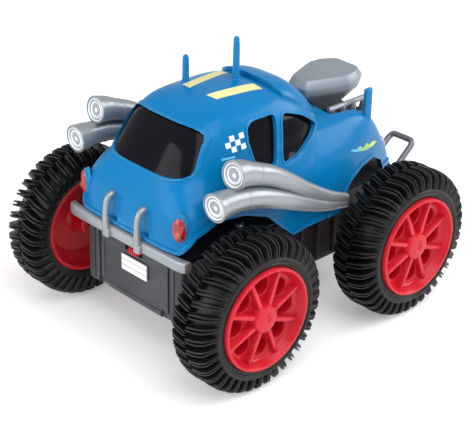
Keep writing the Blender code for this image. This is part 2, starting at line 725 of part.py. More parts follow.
def gear(name, teeth, xs, look, phase, bore):
    made = make_object(name, prism(turned_outline(gear_outline(teeth), phase), *xs, "X"), look, smooth=False)
    boolean(made, "bore", rod(bore, xs[0] - 20.0, xs[1] + 20.0, "X", segments=16))
    return made


def idler_place():
    """Idler shaft, one small gear mesh away from the axle."""
    reach = MODULE * (IDLER_SMALL_TEETH + AXLE_GEAR_TEETH) / 2
    return REAR_AXLE_Y - math.sqrt(reach**2 - IDLER_LIFT**2), AXLE_Z + IDLER_LIFT


def motor_place():
    """Motor shaft, one large gear mesh away from the idler."""
    reach = MODULE * (PINION_TEETH + IDLER_LARGE_TEETH) / 2
    idler_y, idler_z = idler_place()
    return idler_y - math.sqrt(reach**2 - MOTOR_DROP**2), idler_z - MOTOR_DROP


def mesh_phase(teeth, centre, other, other_teeth, other_phase):
    """The turn that puts a gap of this gear on the line of centres where the other has a tooth."""
    towards = math.atan2(other[1] - centre[1], other[0] - centre[0])
    back = towards + math.pi
    other_share = (back - other_phase) * other_teeth / (2 * math.pi)
    return towards + (other_share + 0.5) * 2 * math.pi / teeth


def make_drive(white, steel, brass, can):
    """On each side a motor with its pinion, a two-step idler gear and the gear on the half axle."""
    axle = (REAR_AXLE_Y, AXLE_Z)
    idler = idler_place()
    motor = motor_place()
    axle_phase = 0.0
    small_phase = mesh_phase(IDLER_SMALL_TEETH, idler, axle, AXLE_GEAR_TEETH, axle_phase)
    pinion_phase = mesh_phase(PINION_TEETH, motor, idler, IDLER_LARGE_TEETH, small_phase)
    make_object("idler_shaft", rod(IDLER_SHAFT_RADIUS, -33.2, 33.2, "X", idler, 12), steel)
    for name, side in (("left", 1.0), ("right", -1.0)):
        axle_origin = empty(f"rear_axle_{name}_centre", (0.0, *axle))
        idler_origin = empty(f"idler_{name}_centre", (0.0, *idler))
        motor_origin = empty(f"motor_{name}_centre", (0.0, *motor))

        made = gear(f"axle_gear_{name}", AXLE_GEAR_TEETH, sorted((side * 29.9, side * 32.9)), white,
                    axle_phase, AXLE_RADIUS + GAP)
        made.parent = axle_origin
        half_axle = rod(AXLE_RADIUS, *sorted((side * 4.0, side * 73.0)), "X", (0.0, 0.0), 16)
        made = make_object(f"rear_axle_{name}", half_axle, steel)
        made.parent = axle_origin

        made = gear(f"idler_gear_{name}", IDLER_LARGE_TEETH, sorted((side * 26.9, side * 29.3)), white,
                    small_phase, IDLER_SHAFT_RADIUS + GAP)
        small = prism(turned_outline(gear_outline(IDLER_SMALL_TEETH), small_phase),
                      *sorted((side * 28.3, side * 33.0)), "X")
        union = boolean(made, "small_gear", small, "UNION")
        made.modifiers.move(made.modifiers.find(union.name), 0)
        bpy.data.objects[f"{made.name}_small_gear"].parent = idler_origin
        bpy.data.objects[f"{made.name}_bore"].parent = idler_origin
        made.parent = idler_origin

        made = gear(f"pinion_{name}", PINION_TEETH, sorted((side * 26.4, side * 29.6)), brass,
                    pinion_phase, 0.9)
        bpy.data.objects[f"{made.name}_bore"].parent = motor_origin
        made.parent = motor_origin
        bpy.data.objects[f"axle_gear_{name}_bore"].parent = axle_origin

        start = side * 0.6
        end = side * (0.6 + MOTOR_LENGTH)
        profile = ((start, 9.0), (start + side * 0.8, MOTOR_RADIUS), (end - side * 1.6, MOTOR_RADIUS),
                   (end - side * 1.5, 3.0), (end, 3.0))
        path = [(x, motor[0], motor[1]) for x, _ in profile]
        body = make_object(f"motor_{name}", swept(path, [r for _, r in profile], 20), can)
        flats = boxed((-40.0, 40.0), (motor[0] - 12.0, motor[0] + 12.0), (motor[1] + 7.6, motor[1] + 14.0))
        boolean(body, "upper_flat", flats)
        flats = boxed((-40.0, 40.0), (motor[0] - 12.0, motor[0] + 12.0), (motor[1] - 14.0, motor[1] - 7.6))
        boolean(body, "lower_flat", flats)


def make_electronics(green, grey, red, label_white):
    """Receiver board over the cells, slide switch on the rear face and the blank rating label."""
    make_object("receiver_board", boxed((-18.0, 18.0), (-12.0, 26.0), (45.0, 46.6)), green, smooth=False)
    make_object("switch_body", boxed((-9.0, 9.0), (79.6, 85.2), (48.8, 55.4), 0.5), grey, smooth=False)
    knob = make_object("switch_knob", boxed((-3.4, 3.4), (85.6, 91.0), (50.6, 54.0), 0.5), red,
                       place=(-KNOB_TRAVEL, 0.0, 0.0), smooth=False)
    for place in range(3):
        x = -2.2 + 1.7 * place
        tool = boxed((x, x + 0.8), (90.4, 92.0), (49.0, 56.0))
        bmesh.ops.translate(tool, verts=tool.verts, vec=(-KNOB_TRAVEL, 0.0, 0.0))
        boolean(knob, f"grip_{place}", tool)
    make_object("rear_label", boxed((-8.5, 8.5), (HOUSING_REAR_Y + GAP, HOUSING_REAR_Y + 0.7), (39.5, 47.0)),
                label_white, smooth=False)


def make_wheels(tyre_black, red, steel):
    """Four hubs and tyres. The left wheels are the right ones turned about the upright axis."""
    hub = make_object("hub_master", turned(HUB_PROFILE, 24), red)
    boolean(hub, "cap", rod(1.2, 74.0, 76.8, "X", (0.0, 0.0), 12), "UNION")
    boolean(hub, "cavity", turned(HUB_CAVITY, 24))
    for number in range(HUB_HOLES):
        angle = 2 * math.pi * number / HUB_HOLES
        centre = (HUB_HOLE_REACH * math.cos(angle), HUB_HOLE_REACH * math.sin(angle))
        boolean(hub, f"hole_{number}", rod(HUB_HOLE_RADIUS, 66.0, 80.0, "X", centre, 8))
    hub_mesh = applied_mesh(hub)
    bpy.data.objects.remove(hub, do_unlink=True)
    tyre = make_object("tyre_master", turned(TYRE_PROFILE, 48, studs=2.6), tyre_black)
    tyre_mesh = tyre.data
    bpy.data.objects.remove(tyre, do_unlink=True)
    for end, y in (("front", FRONT_AXLE_Y), ("rear", REAR_AXLE_Y)):
        for name, turn in (("left", 0.0), ("right", math.pi)):
            if end == "rear":
                origin = bpy.data.objects[f"rear_axle_{name}_centre"]
            else:
                origin = empty(f"front_wheel_{name}_centre", (0.0, y, AXLE_Z))
            for part, mesh in (("hub", hub_mesh), ("tyre", tyre_mesh)):
                made = bpy.data.objects.new(f"{end}_{part}_{name}", mesh)
                bpy.context.scene.collection.objects.link(made)
                made.rotation_euler = (0.0, 0.0, turn)
                made.parent = origin
    make_object("front_axle", rod(AXLE_RADIUS, -73.0, 73.0, "X", (FRONT_AXLE_Y, AXLE_Z), 16), steel)


def main():
    clear_scene()
    material("cutter", (0.5, 0.5, 0.5), 0.5)
    blue = material("blue_plastic", (0.0, 0.16, 0.67), 0.22)
    black = material("black_plastic", (0.012, 0.012, 0.014), 0.45)
    grey = material("dark_grey_plastic", (0.05, 0.053, 0.062), 0.5)
    silver = material("silver_plastic", (0.55, 0.58, 0.62), 0.3, 0.6)
    slate = material("scoop_silver", (0.3, 0.33, 0.37), 0.4, 0.3)
    gunmetal = material("gunmetal_plastic", (0.12, 0.13, 0.14), 0.4, 0.4)
    smoke = material("smoked_pane", (0.01, 0.011, 0.013), 0.08)
    lamp = material("headlight_lens", (0.85, 0.83, 0.8), 0.1)
    red_lens = material("tail_light_lens", (0.5, 0.01, 0.01), 0.12)
    steel = material("steel", (0.6, 0.6, 0.6), 0.3, 1.0)
    brass = material("brass", (0.75, 0.55, 0.25), 0.35, 1.0)
    can = material("motor_can", (0.45, 0.46, 0.48), 0.4, 1.0)
    wrap = material("cell_wrap", (0.05, 0.2, 0.09), 0.35)
    white = material("white_nylon", (0.8, 0.8, 0.76), 0.5)
    green = material("circuit_board", (0.02, 0.2, 0.08), 0.4)
    label = material("white_label", (0.85, 0.85, 0.85), 0.5)
    red = material("red_plastic", (0.72, 0.02, 0.03), 0.3)
    tyre = material("black_rubber", (0.01, 0.01, 0.01), 0.6)

    make_shell(blue)
    make_windscreen(blue)
    make_windows(smoke)
    make_posts(blue)
    make_engine(black, silver, slate)
    make_exhausts(silver)
    make_front_trim(gunmetal, lamp)
    make_rear_trim(silver, red_lens)
    make_chassis(black, grey)
    make_screws(steel)
    make_battery_bay(black, steel, wrap, brass)
    make_drive(white, steel, brass, can)
    make_electronics(green, grey, red, label)
    make_wheels(tyre, red, steel)


main()
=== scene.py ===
"""Looks of the radio-controlled stunt car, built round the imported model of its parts.

Shapes are drawn in millimetres and turned into metres when each piece is made. The nose points
to -Y, the car's right side is at -X and the tyres stand on Z = 0.
"""

import math

import bpy
from bpy.props import FloatProperty, FloatVectorProperty, IntProperty, PointerProperty
from mathutils import Matrix, Vector


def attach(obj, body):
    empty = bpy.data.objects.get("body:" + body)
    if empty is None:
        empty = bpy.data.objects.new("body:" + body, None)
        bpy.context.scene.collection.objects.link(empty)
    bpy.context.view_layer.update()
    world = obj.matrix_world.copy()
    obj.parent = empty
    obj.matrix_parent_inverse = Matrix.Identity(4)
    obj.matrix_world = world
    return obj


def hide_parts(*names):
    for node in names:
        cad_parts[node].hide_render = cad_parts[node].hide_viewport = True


bl_info = {
    "name": "Stunt Car Looks",
    "version": (1, 0, 0),
    "blender": (4, 5, 0),
    "location": "3D View > Sidebar > Stunt Car",
    "description": "Builds the finished pieces of a radio-controlled stunt car round its packed parts",
    "category": "Object",
}

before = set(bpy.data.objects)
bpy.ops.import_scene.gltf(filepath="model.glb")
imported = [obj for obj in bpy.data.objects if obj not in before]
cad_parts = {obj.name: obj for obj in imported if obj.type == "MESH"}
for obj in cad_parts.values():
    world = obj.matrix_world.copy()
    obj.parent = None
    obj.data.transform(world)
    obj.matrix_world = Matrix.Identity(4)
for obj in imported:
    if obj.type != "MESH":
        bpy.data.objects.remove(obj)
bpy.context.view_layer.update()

MM = 0.001
SIDES = (("left", 1.0), ("right", -1.0))
MIRROR = Matrix.Diagonal((-1.0, 1.0, 1.0, 1.0))

REAR_AXLE_Y = 72.0
FRONT_AXLE_Y = -36.0
AXLE_Z = 40.0

# The shell's wall and the forms that it is drawn from
WALL = 1.8
CABIN_CENTRE_Y = 36.0
# Levels of the cabin and of the visor: height, half width, rear end and front end
CABIN_LEVELS = (
    (48.0, 43.0, 92.0, -10.0), (64.0, 43.2, 92.6, -11.0), (78.0, 41.6, 91.4, -14.0),
    (88.0, 38.2, 88.2, -17.5), (95.0, 34.8, 85.0, -19.5), (103.0, 32.4, 80.0, -17.0),
    (111.0, 29.8, 74.5, -8.5), (117.0, 26.8, 68.5, 1.0), (121.0, 22.4, 61.5, 9.5),
    (123.4, 15.0, 53.0, 17.0), (124.6, 6.0, 44.0, 27.0), (124.8, 1.0, 38.0, 33.0),
)
VISOR_LEVELS = (
    (88.0, 33.0, 60.0, -22.0), (100.0, 32.0, 60.0, -22.0), (104.0, 30.0, 60.0, -18.5),
    (111.0, 27.5, 60.0, -13.0), (117.0, 25.5, 60.0, -7.0), (121.0, 22.5, 60.0, -2.0),
    (123.6, 17.5, 52.0, 4.0), (124.8, 9.0, 42.0, 13.0), (125.0, 1.0, 38.0, 30.0),
)
# Powers of the plan's rounded corners, low and high at the rear and at the front
LOW_REAR_POWER = 7.0
HIGH_REAR_POWER = 3.9
FRONT_POWER = 3.4
LOW_REAR_Z = 80.0
HIGH_REAR_Z = 95.0
ROOF_START_Z = 100.0
ROOF_HEIGHT = 24.0
LEAST_HALF = 0.3
# Sections of the hood: place, top and half widths at the shoulder and at the foot
HOOD_SECTIONS = (
    (24.0, 99.5, 31.0, 42.4), (0.0, 99.5, 31.0, 42.4), (-20.0, 98.8, 30.5, 41.0),
    (-40.0, 97.5, 29.0, 36.0), (-52.0, 92.5, 27.0, 32.0), (-60.0, 84.0, 25.5, 29.0),
    (-66.0, 74.0, 24.0, 26.5), (-70.0, 63.0, 22.0, 24.0),
)
HOOD_FOOT_Z = 54.0
HOOD_NOSE_START_Y = -20.0
HOOD_NOSE_LENGTH = 50.0
HOLLOW_FOOT_Z = 30.0
# Lower edge of the shell from the tail to the nose, and the openings, seen from the side, rear or top
SKIRT_EDGE = (
    (97.0, 64.5), (91.0, 64.5), (84.0, 73.0), (71.0, 78.0), (55.0, 76.0), (40.0, 70.5),
    (31.0, 62.0), (22.0, 54.5), (-13.0, 54.5), (-17.0, 61.5), (-24.0, 67.5), (-35.0, 71.5),
    (-47.0, 72.0), (-56.0, 67.0), (-60.0, 60.0), (-80.0, 60.0),
)
QUARTER_WINDOW = ((42.8, 107.0), (41.8, 113.0), (38.0, 115.4), (21.8, 115.2), (27.4, 92.0),
                  (38.4, 93.6), (40.8, 97.0))
FRONT_WINDOW = ((17.8, 114.4), (3.0, 108.8), (-8.0, 101.0), (-1.0, 97.0), (12.0, 92.2),
                (23.6, 90.4))
SIDE_PANE = ((45.0, 104.0), (43.5, 114.0), (39.0, 117.5), (17.0, 117.5), (1.5, 111.5),
             (-11.5, 102.0), (-1.0, 94.5), (22.0, 88.0), (40.0, 90.5))
REAR_WINDOW = ((-29.2, 96.0), (29.2, 96.0), (24.8, 117.4), (-24.8, 117.4))
WINDSCREEN = ((-22.5, 13.0), (-24.5, -2.0), (-20.5, -14.0), (-12.0, -21.5), (12.0, -21.5),
              (20.5, -14.0), (24.5, -2.0), (22.5, 13.0))
# Each roof post's node, place, foot, top and the height of the roof there
ROOF_POSTS = (
    ("roof_post_left", 16.0, 40.6, 119.0, 137.2, 123.0),
    ("roof_post_front_left", 3.1, 18.7, 119.0, 145.0, 123.6),
    ("roof_post_front_right", -0.3, 21.9, 119.0, 145.0, 124.1),
)
POST_RADIUS = 1.8
# Distance below the post's top and share of its radius, then a collar as height over the roof and radius
POST_END = ((6.0, 0.94), (2.0, 0.88), (0.9, 0.74), (0.3, 0.4), (0.0, 0.0))
POST_COLLAR = ((-3.0, 0.0), (-3.0, 2.7), (-0.2, 2.5), (0.7, 2.0), (1.0, 0.0))
VISOR_FOOT_Z = 97.5
VISOR_THICKNESS = 2.2
FILM_OUT = -0.12
FILM_IN = 0.1


# ---------------------------------------------------------------- mesh tools

def deselect():
    """Leaves edit mode and selects nothing, so that an operator acts only on its own piece."""
    if bpy.context.mode != "OBJECT":
        bpy.ops.object.mode_set(mode="OBJECT")
    bpy.ops.object.select_all(action="DESELECT")


def activate(obj):
    deselect()
    obj.select_set(True)
    bpy.context.view_layer.objects.active = obj


def apply_all(obj):
    activate(obj)
    for modifier in list(obj.modifiers):
        bpy.ops.object.modifier_apply(modifier=modifier.name)


def settle(obj):
    """Puts an object's place, turn and scale into its mesh."""
    activate(obj)
    bpy.ops.object.transform_apply(location=True, rotation=True, scale=True)
    return obj


def closed_outwards(obj):
    """Merges doubles and turns all faces outwards."""
    activate(obj)
    bpy.ops.object.mode_set(mode="EDIT")
    bpy.ops.mesh.select_all(action="SELECT")
    bpy.ops.mesh.remove_doubles(threshold=1e-6)
    bpy.ops.mesh.normals_make_consistent(inside=False)
    bpy.ops.object.mode_set(mode="OBJECT")
    return obj


def drawn(name, points, edges=(), faces=()):
    """A mesh object from points in millimetres."""
    mesh = bpy.data.meshes.new(name)
    mesh.from_pydata([tuple(value * MM for value in point) for point in points], edges, faces)
    obj = bpy.data.objects.new(name, mesh)
    bpy.context.scene.collection.objects.link(obj)
    return obj


def block(name, xs, ys, zs, bevel=0.0, segments=3):
    """A box between two corners, with rounded edges."""
    middle = [(low + high) / 2 * MM for low, high in (xs, ys, zs)]
    size = [(high - low) * MM for low, high in (xs, ys, zs)]
    deselect()
    bpy.ops.mesh.primitive_cube_add(size=1.0, location=middle, scale=size)
    obj = settle(bpy.context.object)
    obj.name = name
    return rounded(obj, bevel, segments) if bevel else obj


def side_block(name, side, near, far, ys, zs, bevel):
    """A box between two distances from the middle plane, on one side."""
    return block(name, sorted((side * near, side * far)), ys, zs, bevel)


def rounded(obj, width, segments=3, angle=30.0):
    """Rounds the edges that are sharper than an angle."""
    bevel = obj.modifiers.new("rounding", "BEVEL")
    bevel.width = width * MM
    bevel.segments = segments
    bevel.limit_method = "ANGLE"
    bevel.angle_limit = math.radians(angle)
    bevel.use_clamp_overlap = True
    apply_all(obj)
    return obj


def rod(name, radius, start, end, axis, centre, sides=32, bevel=0.0):
    """A round bar along an axis. centre gives its two other coordinates in axis order."""
    place = list(centre)
    place.insert("XYZ".index(axis), (start + end) / 2)
    turn = {"X": (0.0, math.pi / 2, 0.0), "Y": (math.pi / 2, 0.0, 0.0), "Z": (0.0, 0.0, 0.0)}[axis]
    deselect()
    bpy.ops.mesh.primitive_cylinder_add(
        vertices=sides, radius=radius * MM, depth=(end - start) * MM,
        location=[value * MM for value in place], rotation=turn)
    obj = settle(bpy.context.object)
    obj.name = name
    return rounded(obj, bevel) if bevel else obj


def turned(name, profile, steps, closed=False):
    """Spins a profile of (x, radius) about the X axis."""
    points = [(x, 0.0, radius) for x, radius in profile]
    edges = [(i, i + 1) for i in range(len(points) - 1)]
    if closed:
        edges.append((len(points) - 1, 0))
    obj = drawn(name, points, edges)
    screw = obj.modifiers.new("turning", "SCREW")
    screw.axis = "X"
    screw.steps = steps
    screw.render_steps = steps
    screw.use_merge_vertices = True
    screw.merge_threshold = 1e-6
    apply_all(obj)
    return closed_outwards(obj)


def prism(name, outline, start, end, axis):
    """Extrudes an outline along an axis. The outline holds the two other coordinates."""
    points = []
    for place in (start, end):
        for first, second in outline:
            point = [first, second]
            point.insert("XYZ".index(axis), place)
            points.append(point)
    count = len(outline)
    faces = [tuple(range(count)), tuple(range(count, 2 * count))]
    faces += [(i, (i + 1) % count, (i + 1) % count + count, i + count) for i in range(count)]
    return closed_outwards(drawn(name, points, faces=faces))


def lofted(name, rings):
    """Skins rings that hold the same number of points, and caps both ends."""
    count = len(rings[0])
    points = [point for ring in rings for point in ring]
    faces = [tuple(range(count)), tuple(range(len(points) - count, len(points)))]
    for row in range(len(rings) - 1):
        low = row * count
        for i in range(count):
            after = (i + 1) % count
            faces.append((low + i, low + after, low + after + count, low + i + count))
    return closed_outwards(drawn(name, points, faces=faces))


def smooth_row(rows, steps):
    """Rows of values along a Catmull-Rom curve through the given rows."""
    result = []
    for i in range(len(rows) - 1):
        around = [rows[min(max(i + shift, 0), len(rows) - 1)] for shift in (-1, 0, 1, 2)]
        for step in range(steps):
            t = step / steps
            weights = (
                (-t**3 + 2 * t**2 - t) / 2, (3 * t**3 - 5 * t**2 + 2) / 2,
                (-3 * t**3 + 4 * t**2 + t) / 2, (t**3 - t**2) / 2,
            )
            result.append(tuple(sum(w * v for w, v in zip(weights, values)) for values in zip(*around)))
    result.append(tuple(rows[-1]))
    return result


def tube(name, path, radii, steps=4, resolution=6):
    """A round pipe along a smooth line through points, with a radius at each point."""
    rows = smooth_row([(*point, radius) for point, radius in zip(path, radii)], steps)
    curve = bpy.data.curves.new(name, "CURVE")
    curve.dimensions = "3D"
    curve.bevel_depth = MM
    curve.bevel_resolution = resolution
    curve.use_fill_caps = True
    spline = curve.splines.new("POLY")
    spline.points.add(len(rows) - 1)
    for point, (x, y, z, radius) in zip(spline.points, rows):
        point.co = (x * MM, y * MM, z * MM, 1.0)
        point.radius = radius
    obj = bpy.data.objects.new(name, curve)
    bpy.context.scene.collection.objects.link(obj)
    activate(obj)
    bpy.ops.object.convert(target="MESH")
    return closed_outwards(bpy.context.object)


def combine(obj, tool, operation="DIFFERENCE"):
    """Cuts, adds or keeps what is common with a tool, and removes the tool."""
    modifier = obj.modifiers.new(operation, "BOOLEAN")
    modifier.operation = operation
    modifier.solver = "EXACT"
    modifier.object = tool
    apply_all(obj)
    bpy.data.objects.remove(tool, do_unlink=True)
    return obj


def cut(obj, *tools):
    for tool in tools:
        combine(obj, tool)
    return obj


def joined(name, objects):
    """Several shapes as one piece."""
    activate(objects[0])
    for obj in objects[1:]:
        obj.select_set(True)
    if len(objects) > 1:
        bpy.ops.object.join()
    obj = bpy.context.object
    obj.name = name
    return obj


def repeated(obj, count, turn=None, step=None):
    """An array of a shape, turned about the X axis or moved by a step in millimetres."""
    array = obj.modifiers.new("repeat", "ARRAY")
    array.count = count
    array.use_relative_offset = False
    if step:
        array.use_constant_offset = True
        array.constant_offset_displace = [value * MM for value in step]
        apply_all(obj)
        return obj
    guide = bpy.data.objects.new("guide", None)
    bpy.context.scene.collection.objects.link(guide)
    guide.rotation_euler = (turn, 0.0, 0.0)
    bpy.context.view_layer.update()
    array.use_object_offset = True
    array.offset_object = guide
    apply_all(obj)
    bpy.data.objects.remove(guide, do_unlink=True)
    return obj


def moved(obj, place, turn=None):
    """Turns a mesh by a matrix or a direction for its X axis, then moves it, in millimetres."""
    matrix = Matrix.Translation([value * MM for value in place])
    if turn is not None:
        if not isinstance(turn, Matrix):
            turn = Vector(turn).to_track_quat("X", "Z").to_matrix().to_4x4()
        matrix = matrix @ turn
    obj.data.transform(matrix)
    obj.data.update()
    return obj


def copied(obj, name, matrix):
    """A copy with its own mesh. A mirroring matrix gets its faces turned back outwards."""
    made = bpy.data.objects.new(name, obj.data.copy())
    bpy.context.scene.collection.objects.link(made)
    made.data.transform(matrix)
    if matrix.determinant() < 0:
        made.data.flip_normals()
    return made


def mirrored(obj):
    """The right piece that mirrors a left one."""
    return copied(obj, obj.name.replace("left", "right"), MIRROR)


def done(obj, finish, body="chassis", replaces=(), angle=32.0):
    """Gives a finished piece its material, shading and body, and hides the imported parts that it replaces.
    """
    activate(obj)
    bpy.ops.object.shade_smooth_by_angle(angle=math.radians(angle))
    apply_all(obj)
    obj.data.materials.clear()
    obj.data.materials.append(look(finish))
    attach(obj, body)
    if replaces:
        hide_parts(*replaces)


def done_both(left, finish, node=None):
    """Finishes a left piece and its mirror image. node is the stem of the nodes that they replace."""
    for obj, side in ((left, "left"), (mirrored(left), "right")):
        done(obj, finish, replaces=(f"{node}_{side}",) if node else ())


# ---------------------------------------------------------------- materials

def shader_of(name, colour, metallic=0.0, coat=0.0, specular=0.5):
    """A new material and its shader, with its even values on the shader's own sockets."""
    made = bpy.data.materials.new(name)
    made.use_nodes = True
    tree = made.node_tree
    shader = tree.nodes["Principled BSDF"]
    values = {"Base Color": (*colour, 1.0), "Metallic": metallic, "IOR": 1.5, "Coat Weight": coat,
              "Coat Roughness": 0.05, "Specular IOR Level": specular}
    for socket, value in values.items():
        shader.inputs[socket].default_value = value
    return made, tree, shader


def noise(tree, scale, detail=3.0, stretch=None, roughness=0.5):
    """Noise on Object coordinates, as a value from 0 to 1."""
    coords = tree.nodes.new("ShaderNodeTexCoord")
    source = coords.outputs["Object"]
    if stretch:
        mapping = tree.nodes.new("ShaderNodeMapping")
        mapping.inputs["Scale"].default_value = stretch
        tree.links.new(source, mapping.inputs["Vector"])
        source = mapping.outputs["Vector"]
    texture = tree.nodes.new("ShaderNodeTexNoise")
    texture.inputs["Scale"].default_value = scale
    texture.inputs["Detail"].default_value = detail
    texture.inputs["Roughness"].default_value = roughness
    tree.links.new(source, texture.inputs["Vector"])
    return texture.outputs["Fac"]


def ranged(tree, value, low, high, start=0.3, end=0.7):
    """Maps a value from its own range to another."""
    made = tree.nodes.new("ShaderNodeMapRange")
    for socket, limit in (("From Min", start), ("From Max", end), ("To Min", low), ("To Max", high)):
        made.inputs[socket].default_value = limit
    tree.links.new(value, made.inputs["Value"])
    return made.outputs["Result"]


def mixed(tree, share, first, second):
    """A colour between two colours, each a tuple or another node's output."""
    made = tree.nodes.new("ShaderNodeMix")
    made.data_type = "RGBA"
    tree.links.new(share, made.inputs[0])
    for socket, value in ((made.inputs[6], first), (made.inputs[7], second)):
        if isinstance(value, tuple):
            socket.default_value = (*value, 1.0)
        else:
            tree.links.new(value, socket)
    return made.outputs[2]


def added(tree, first, second, operation="ADD"):
    made = tree.nodes.new("ShaderNodeMath")
    made.operation = operation
    tree.links.new(first, made.inputs[0])
    tree.links.new(second, made.inputs[1])
    return made.outputs[0]


def shaded(colour, factor):
    return tuple(min(1.0, value * factor) for value in colour)


def surfaced(tree, shader, base, roughness, height, strength, depth):
    """Links a surface's colour and roughness, and a height in millimetres as bump."""
    tree.links.new(base, shader.inputs["Base Color"])
    tree.links.new(roughness, shader.inputs["Roughness"])
    bump = tree.nodes.new("ShaderNodeBump")
    bump.inputs["Strength"].default_value = strength
    bump.inputs["Distance"].default_value = depth * MM
    tree.links.new(height, bump.inputs["Height"])
    tree.links.new(bump.outputs["Normal"], shader.inputs["Normal"])


def moulded(name, colour, rough, metallic=0.0, coat=0.0, grain=900.0, depth=0.02, mottle=0.08,
            edge_wear_and_highlight=0.25, worn_and_highlit_colour=None, dust=0.0, rough_spread=0.08, specular=0.5):
    """A moulded or painted surface: mottled colour, fine grain, lightened edges that are partly rubbed wear
    and partly a painted edge highlight, and hairline scuffs.
    """
    made, tree, shader = shader_of(name, colour, metallic, coat, specular)
    base = mixed(tree, ranged(tree, noise(tree, 26.0), 0.0, 1.0),
                 shaded(colour, 1.0 - mottle), shaded(colour, 1.0 + mottle))
    pointed = tree.nodes.new("ShaderNodeNewGeometry").outputs["Pointiness"]
    # Convex edges lightened: partly rubbed wear, partly a painted edge highlight where light catches the
    # rims
    edges = added(tree, ranged(tree, pointed, 0.0, edge_wear_and_highlight, 0.53, 0.6),
                  ranged(tree, noise(tree, 140.0), 0.2, 1.0), "MULTIPLY")
    base = mixed(tree, edges, base, worn_and_highlit_colour or shaded(tuple(value + 0.03 for value in colour), 1.5))
    if dust:
        hollows = added(tree, ranged(tree, pointed, dust, 0.0, 0.42, 0.5),
                        ranged(tree, noise(tree, 60.0, 6.0), 0.3, 1.0), "MULTIPLY")
        base = mixed(tree, hollows, base, DUST_COLOUR)
    scuffs = ranged(tree, noise(tree, 30.0, 5.0, (1.0, 22.0, 3.0), 0.65), 0.0, rough_spread, 0.52, 0.7)
    roughness = added(tree, ranged(tree, noise(tree, 45.0, 4.0), rough - 0.03, rough + 0.05), scuffs)
    surfaced(tree, shader, base, roughness, noise(tree, grain, 2.0), 0.35, depth)
    return made


def banded(name, colours, edges, axis, rough, coat=0.0):
    """A printed film or foil with bands along an axis, edges in millimetres."""
    made, tree, shader = shader_of(name, colours[0], coat=coat)
    coords = tree.nodes.new("ShaderNodeTexCoord")
    split = tree.nodes.new("ShaderNodeSeparateXYZ")
    tree.links.new(coords.outputs["Object"], split.inputs["Vector"])
    place = split.outputs["XYZ".index(axis)]
    base = mixed(tree, ranged(tree, noise(tree, 40.0), 0.0, 1.0), shaded(colours[0], 0.9), colours[0])
    for colour, edge in zip(colours[1:], edges):
        step = ranged(tree, place, 0.0, 1.0, (edge - 0.05) * MM, (edge + 0.05) * MM)
        base = mixed(tree, step, base, colour)
    roughness = ranged(tree, noise(tree, 80.0, 4.0), rough - 0.05, rough + 0.08)
    surfaced(tree, shader, base, roughness, noise(tree, 700.0), 0.3, 0.02)
    return made


DUST_COLOUR = (0.16, 0.15, 0.14)
LABEL_PAPER = (0.82, 0.82, 0.8)
LABEL_LINE = (0.3, 0.3, 0.32)
